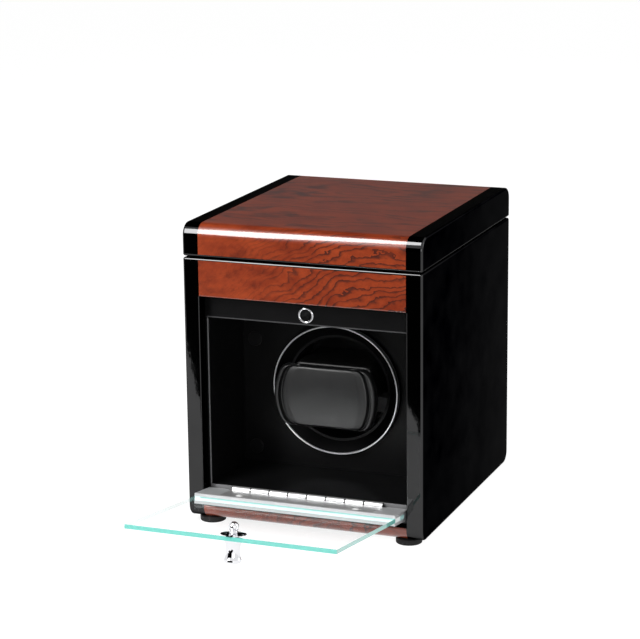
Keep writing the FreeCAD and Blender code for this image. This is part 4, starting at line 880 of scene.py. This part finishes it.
def dark_cards():
    """A dark cloth on the table and dark cards far off, all out of the picture, for the gloss to mirror."""
    cloth = [(-900, -700), (-340, -600), (-308, -578), (-278, -522), (-249, -466), (-219, -408),
             (-195, -385), (-90, -378), (-70, -430), (-46, -460), (-29, -425), (-14, -398), (1, -360),
             (40, -350), (90, -400), (200, -1050), (200, -3500), (-3000, -3500)]
    front = [(-3400, -2300, 2), (300, -3600, 2), (300, -3600, 1450), (-3400, -2300, 1450)]
    back = [(-1500, 1900, 480), (-150, 2350, 480), (-150, 2350, 2400), (-1500, 1900, 2400)]
    ceiling = [(-2300, -700, 2400), (700, -700, 2400), (700, 2300, 2400), (-2300, 2300, 2400)]
    cards = {
        "front_cloth": ([(x, y, 1) for x, y in cloth], 0.006),
        "front_card": (front, 0.008),
        "back_card": (back, 0.10),
        "ceiling_card": (ceiling, 0.03),
    }
    for name, (corners, grey) in cards.items():
        f = stage_sheet(name, corners, [tuple(range(len(corners)))])
        card = bpy.data.objects[name]
        card.visible_camera = card.visible_transmission = card.visible_shadow = False
        nap = f.cloud(f.place(), 0.05, 3)
        colour = f.mix(nap, [grey * 0.9] * 3, [grey * 1.1] * 3)
        f.close(f.surface(Base_Color=colour, Roughness=0.95, Specular_IOR_Level=0.0))


def surroundings():
    """White where the camera, metal and glass look, and an even fill for the rest."""
    world = bpy.data.worlds.new("studio")
    bpy.context.scene.world = world
    world.use_nodes = True
    f = Finish(world.node_tree, "ShaderNodeOutputWorld")
    white = white_seen(f)
    f.close(f.add("ShaderNodeBackground", {}, {"Color": (1, 1, 1, 1), "Strength": 0.17 + white * 0.83}))


def softbox(name, place, width, height, power):
    """Flat lamp that faces the middle of the box, in metres and watts."""
    lamp = bpy.data.lights.new(name, "AREA")
    lamp.shape = "RECTANGLE"
    lamp.size, lamp.size_y = width, height
    lamp.energy = power
    box = bpy.data.objects.new(name, lamp)
    box.location = place
    box.rotation_mode = "QUATERNION"
    box.rotation_quaternion = (LAMP_AIM - Vector(place)).to_track_quat("-Z", "Y")
    bpy.context.scene.collection.objects.link(box)


def studio():
    white_table()
    dark_cards()
    surroundings()
    softbox("front_box", (-0.435, -0.80, 0.96), 0.29, 1.24, 18.4)
    softbox("low_box", (0.95, -1.55, 0.42), 0.5, 0.5, 5.0)
    softbox("right_box", (1.55, 0.60, 0.60), 0.5, 0.8, 4.0)
    softbox("rear_box", (0.60, 1.70, 0.90), 1.5, 1.2, 4.0)


def photograph():
    """Camera at the photograph's place, from its fitted directions."""
    right = Vector((math.cos(CAMERA_TURN), math.sin(CAMERA_TURN), 0))
    level_back = Vector((math.sin(CAMERA_TURN), -math.cos(CAMERA_TURN), 0))
    back = level_back * math.cos(CAMERA_RISE) + Vector((0, 0, math.sin(CAMERA_RISE)))
    up = back.cross(right)
    place = CAMERA_AIM + back * CAMERA_AWAY - right * CAMERA_LEFT + up * CAMERA_UP
    level, tilted = math.cos(CAMERA_ROLL), math.sin(CAMERA_ROLL)
    rolled_right = right * level + up * tilted
    rolled_up = up * level - right * tilted
    data = bpy.data.cameras.new("photograph")
    data.sensor_width = SENSOR_WIDTH
    data.lens = SENSOR_WIDTH * FOCAL_PIXELS / PICTURE_PIXELS
    camera = bpy.data.objects.new("photograph", data)
    turned = Matrix((rolled_right, rolled_up, back)).transposed().to_4x4()
    camera.matrix_world = Matrix.Translation(place * MM) @ turned
    bpy.context.scene.collection.objects.link(camera)
    bpy.context.scene.camera = camera
    bpy.context.scene.view_settings.view_transform = "Standard"


all_finishes()
dress_frame()
dress_cushion()
studio()
photograph()
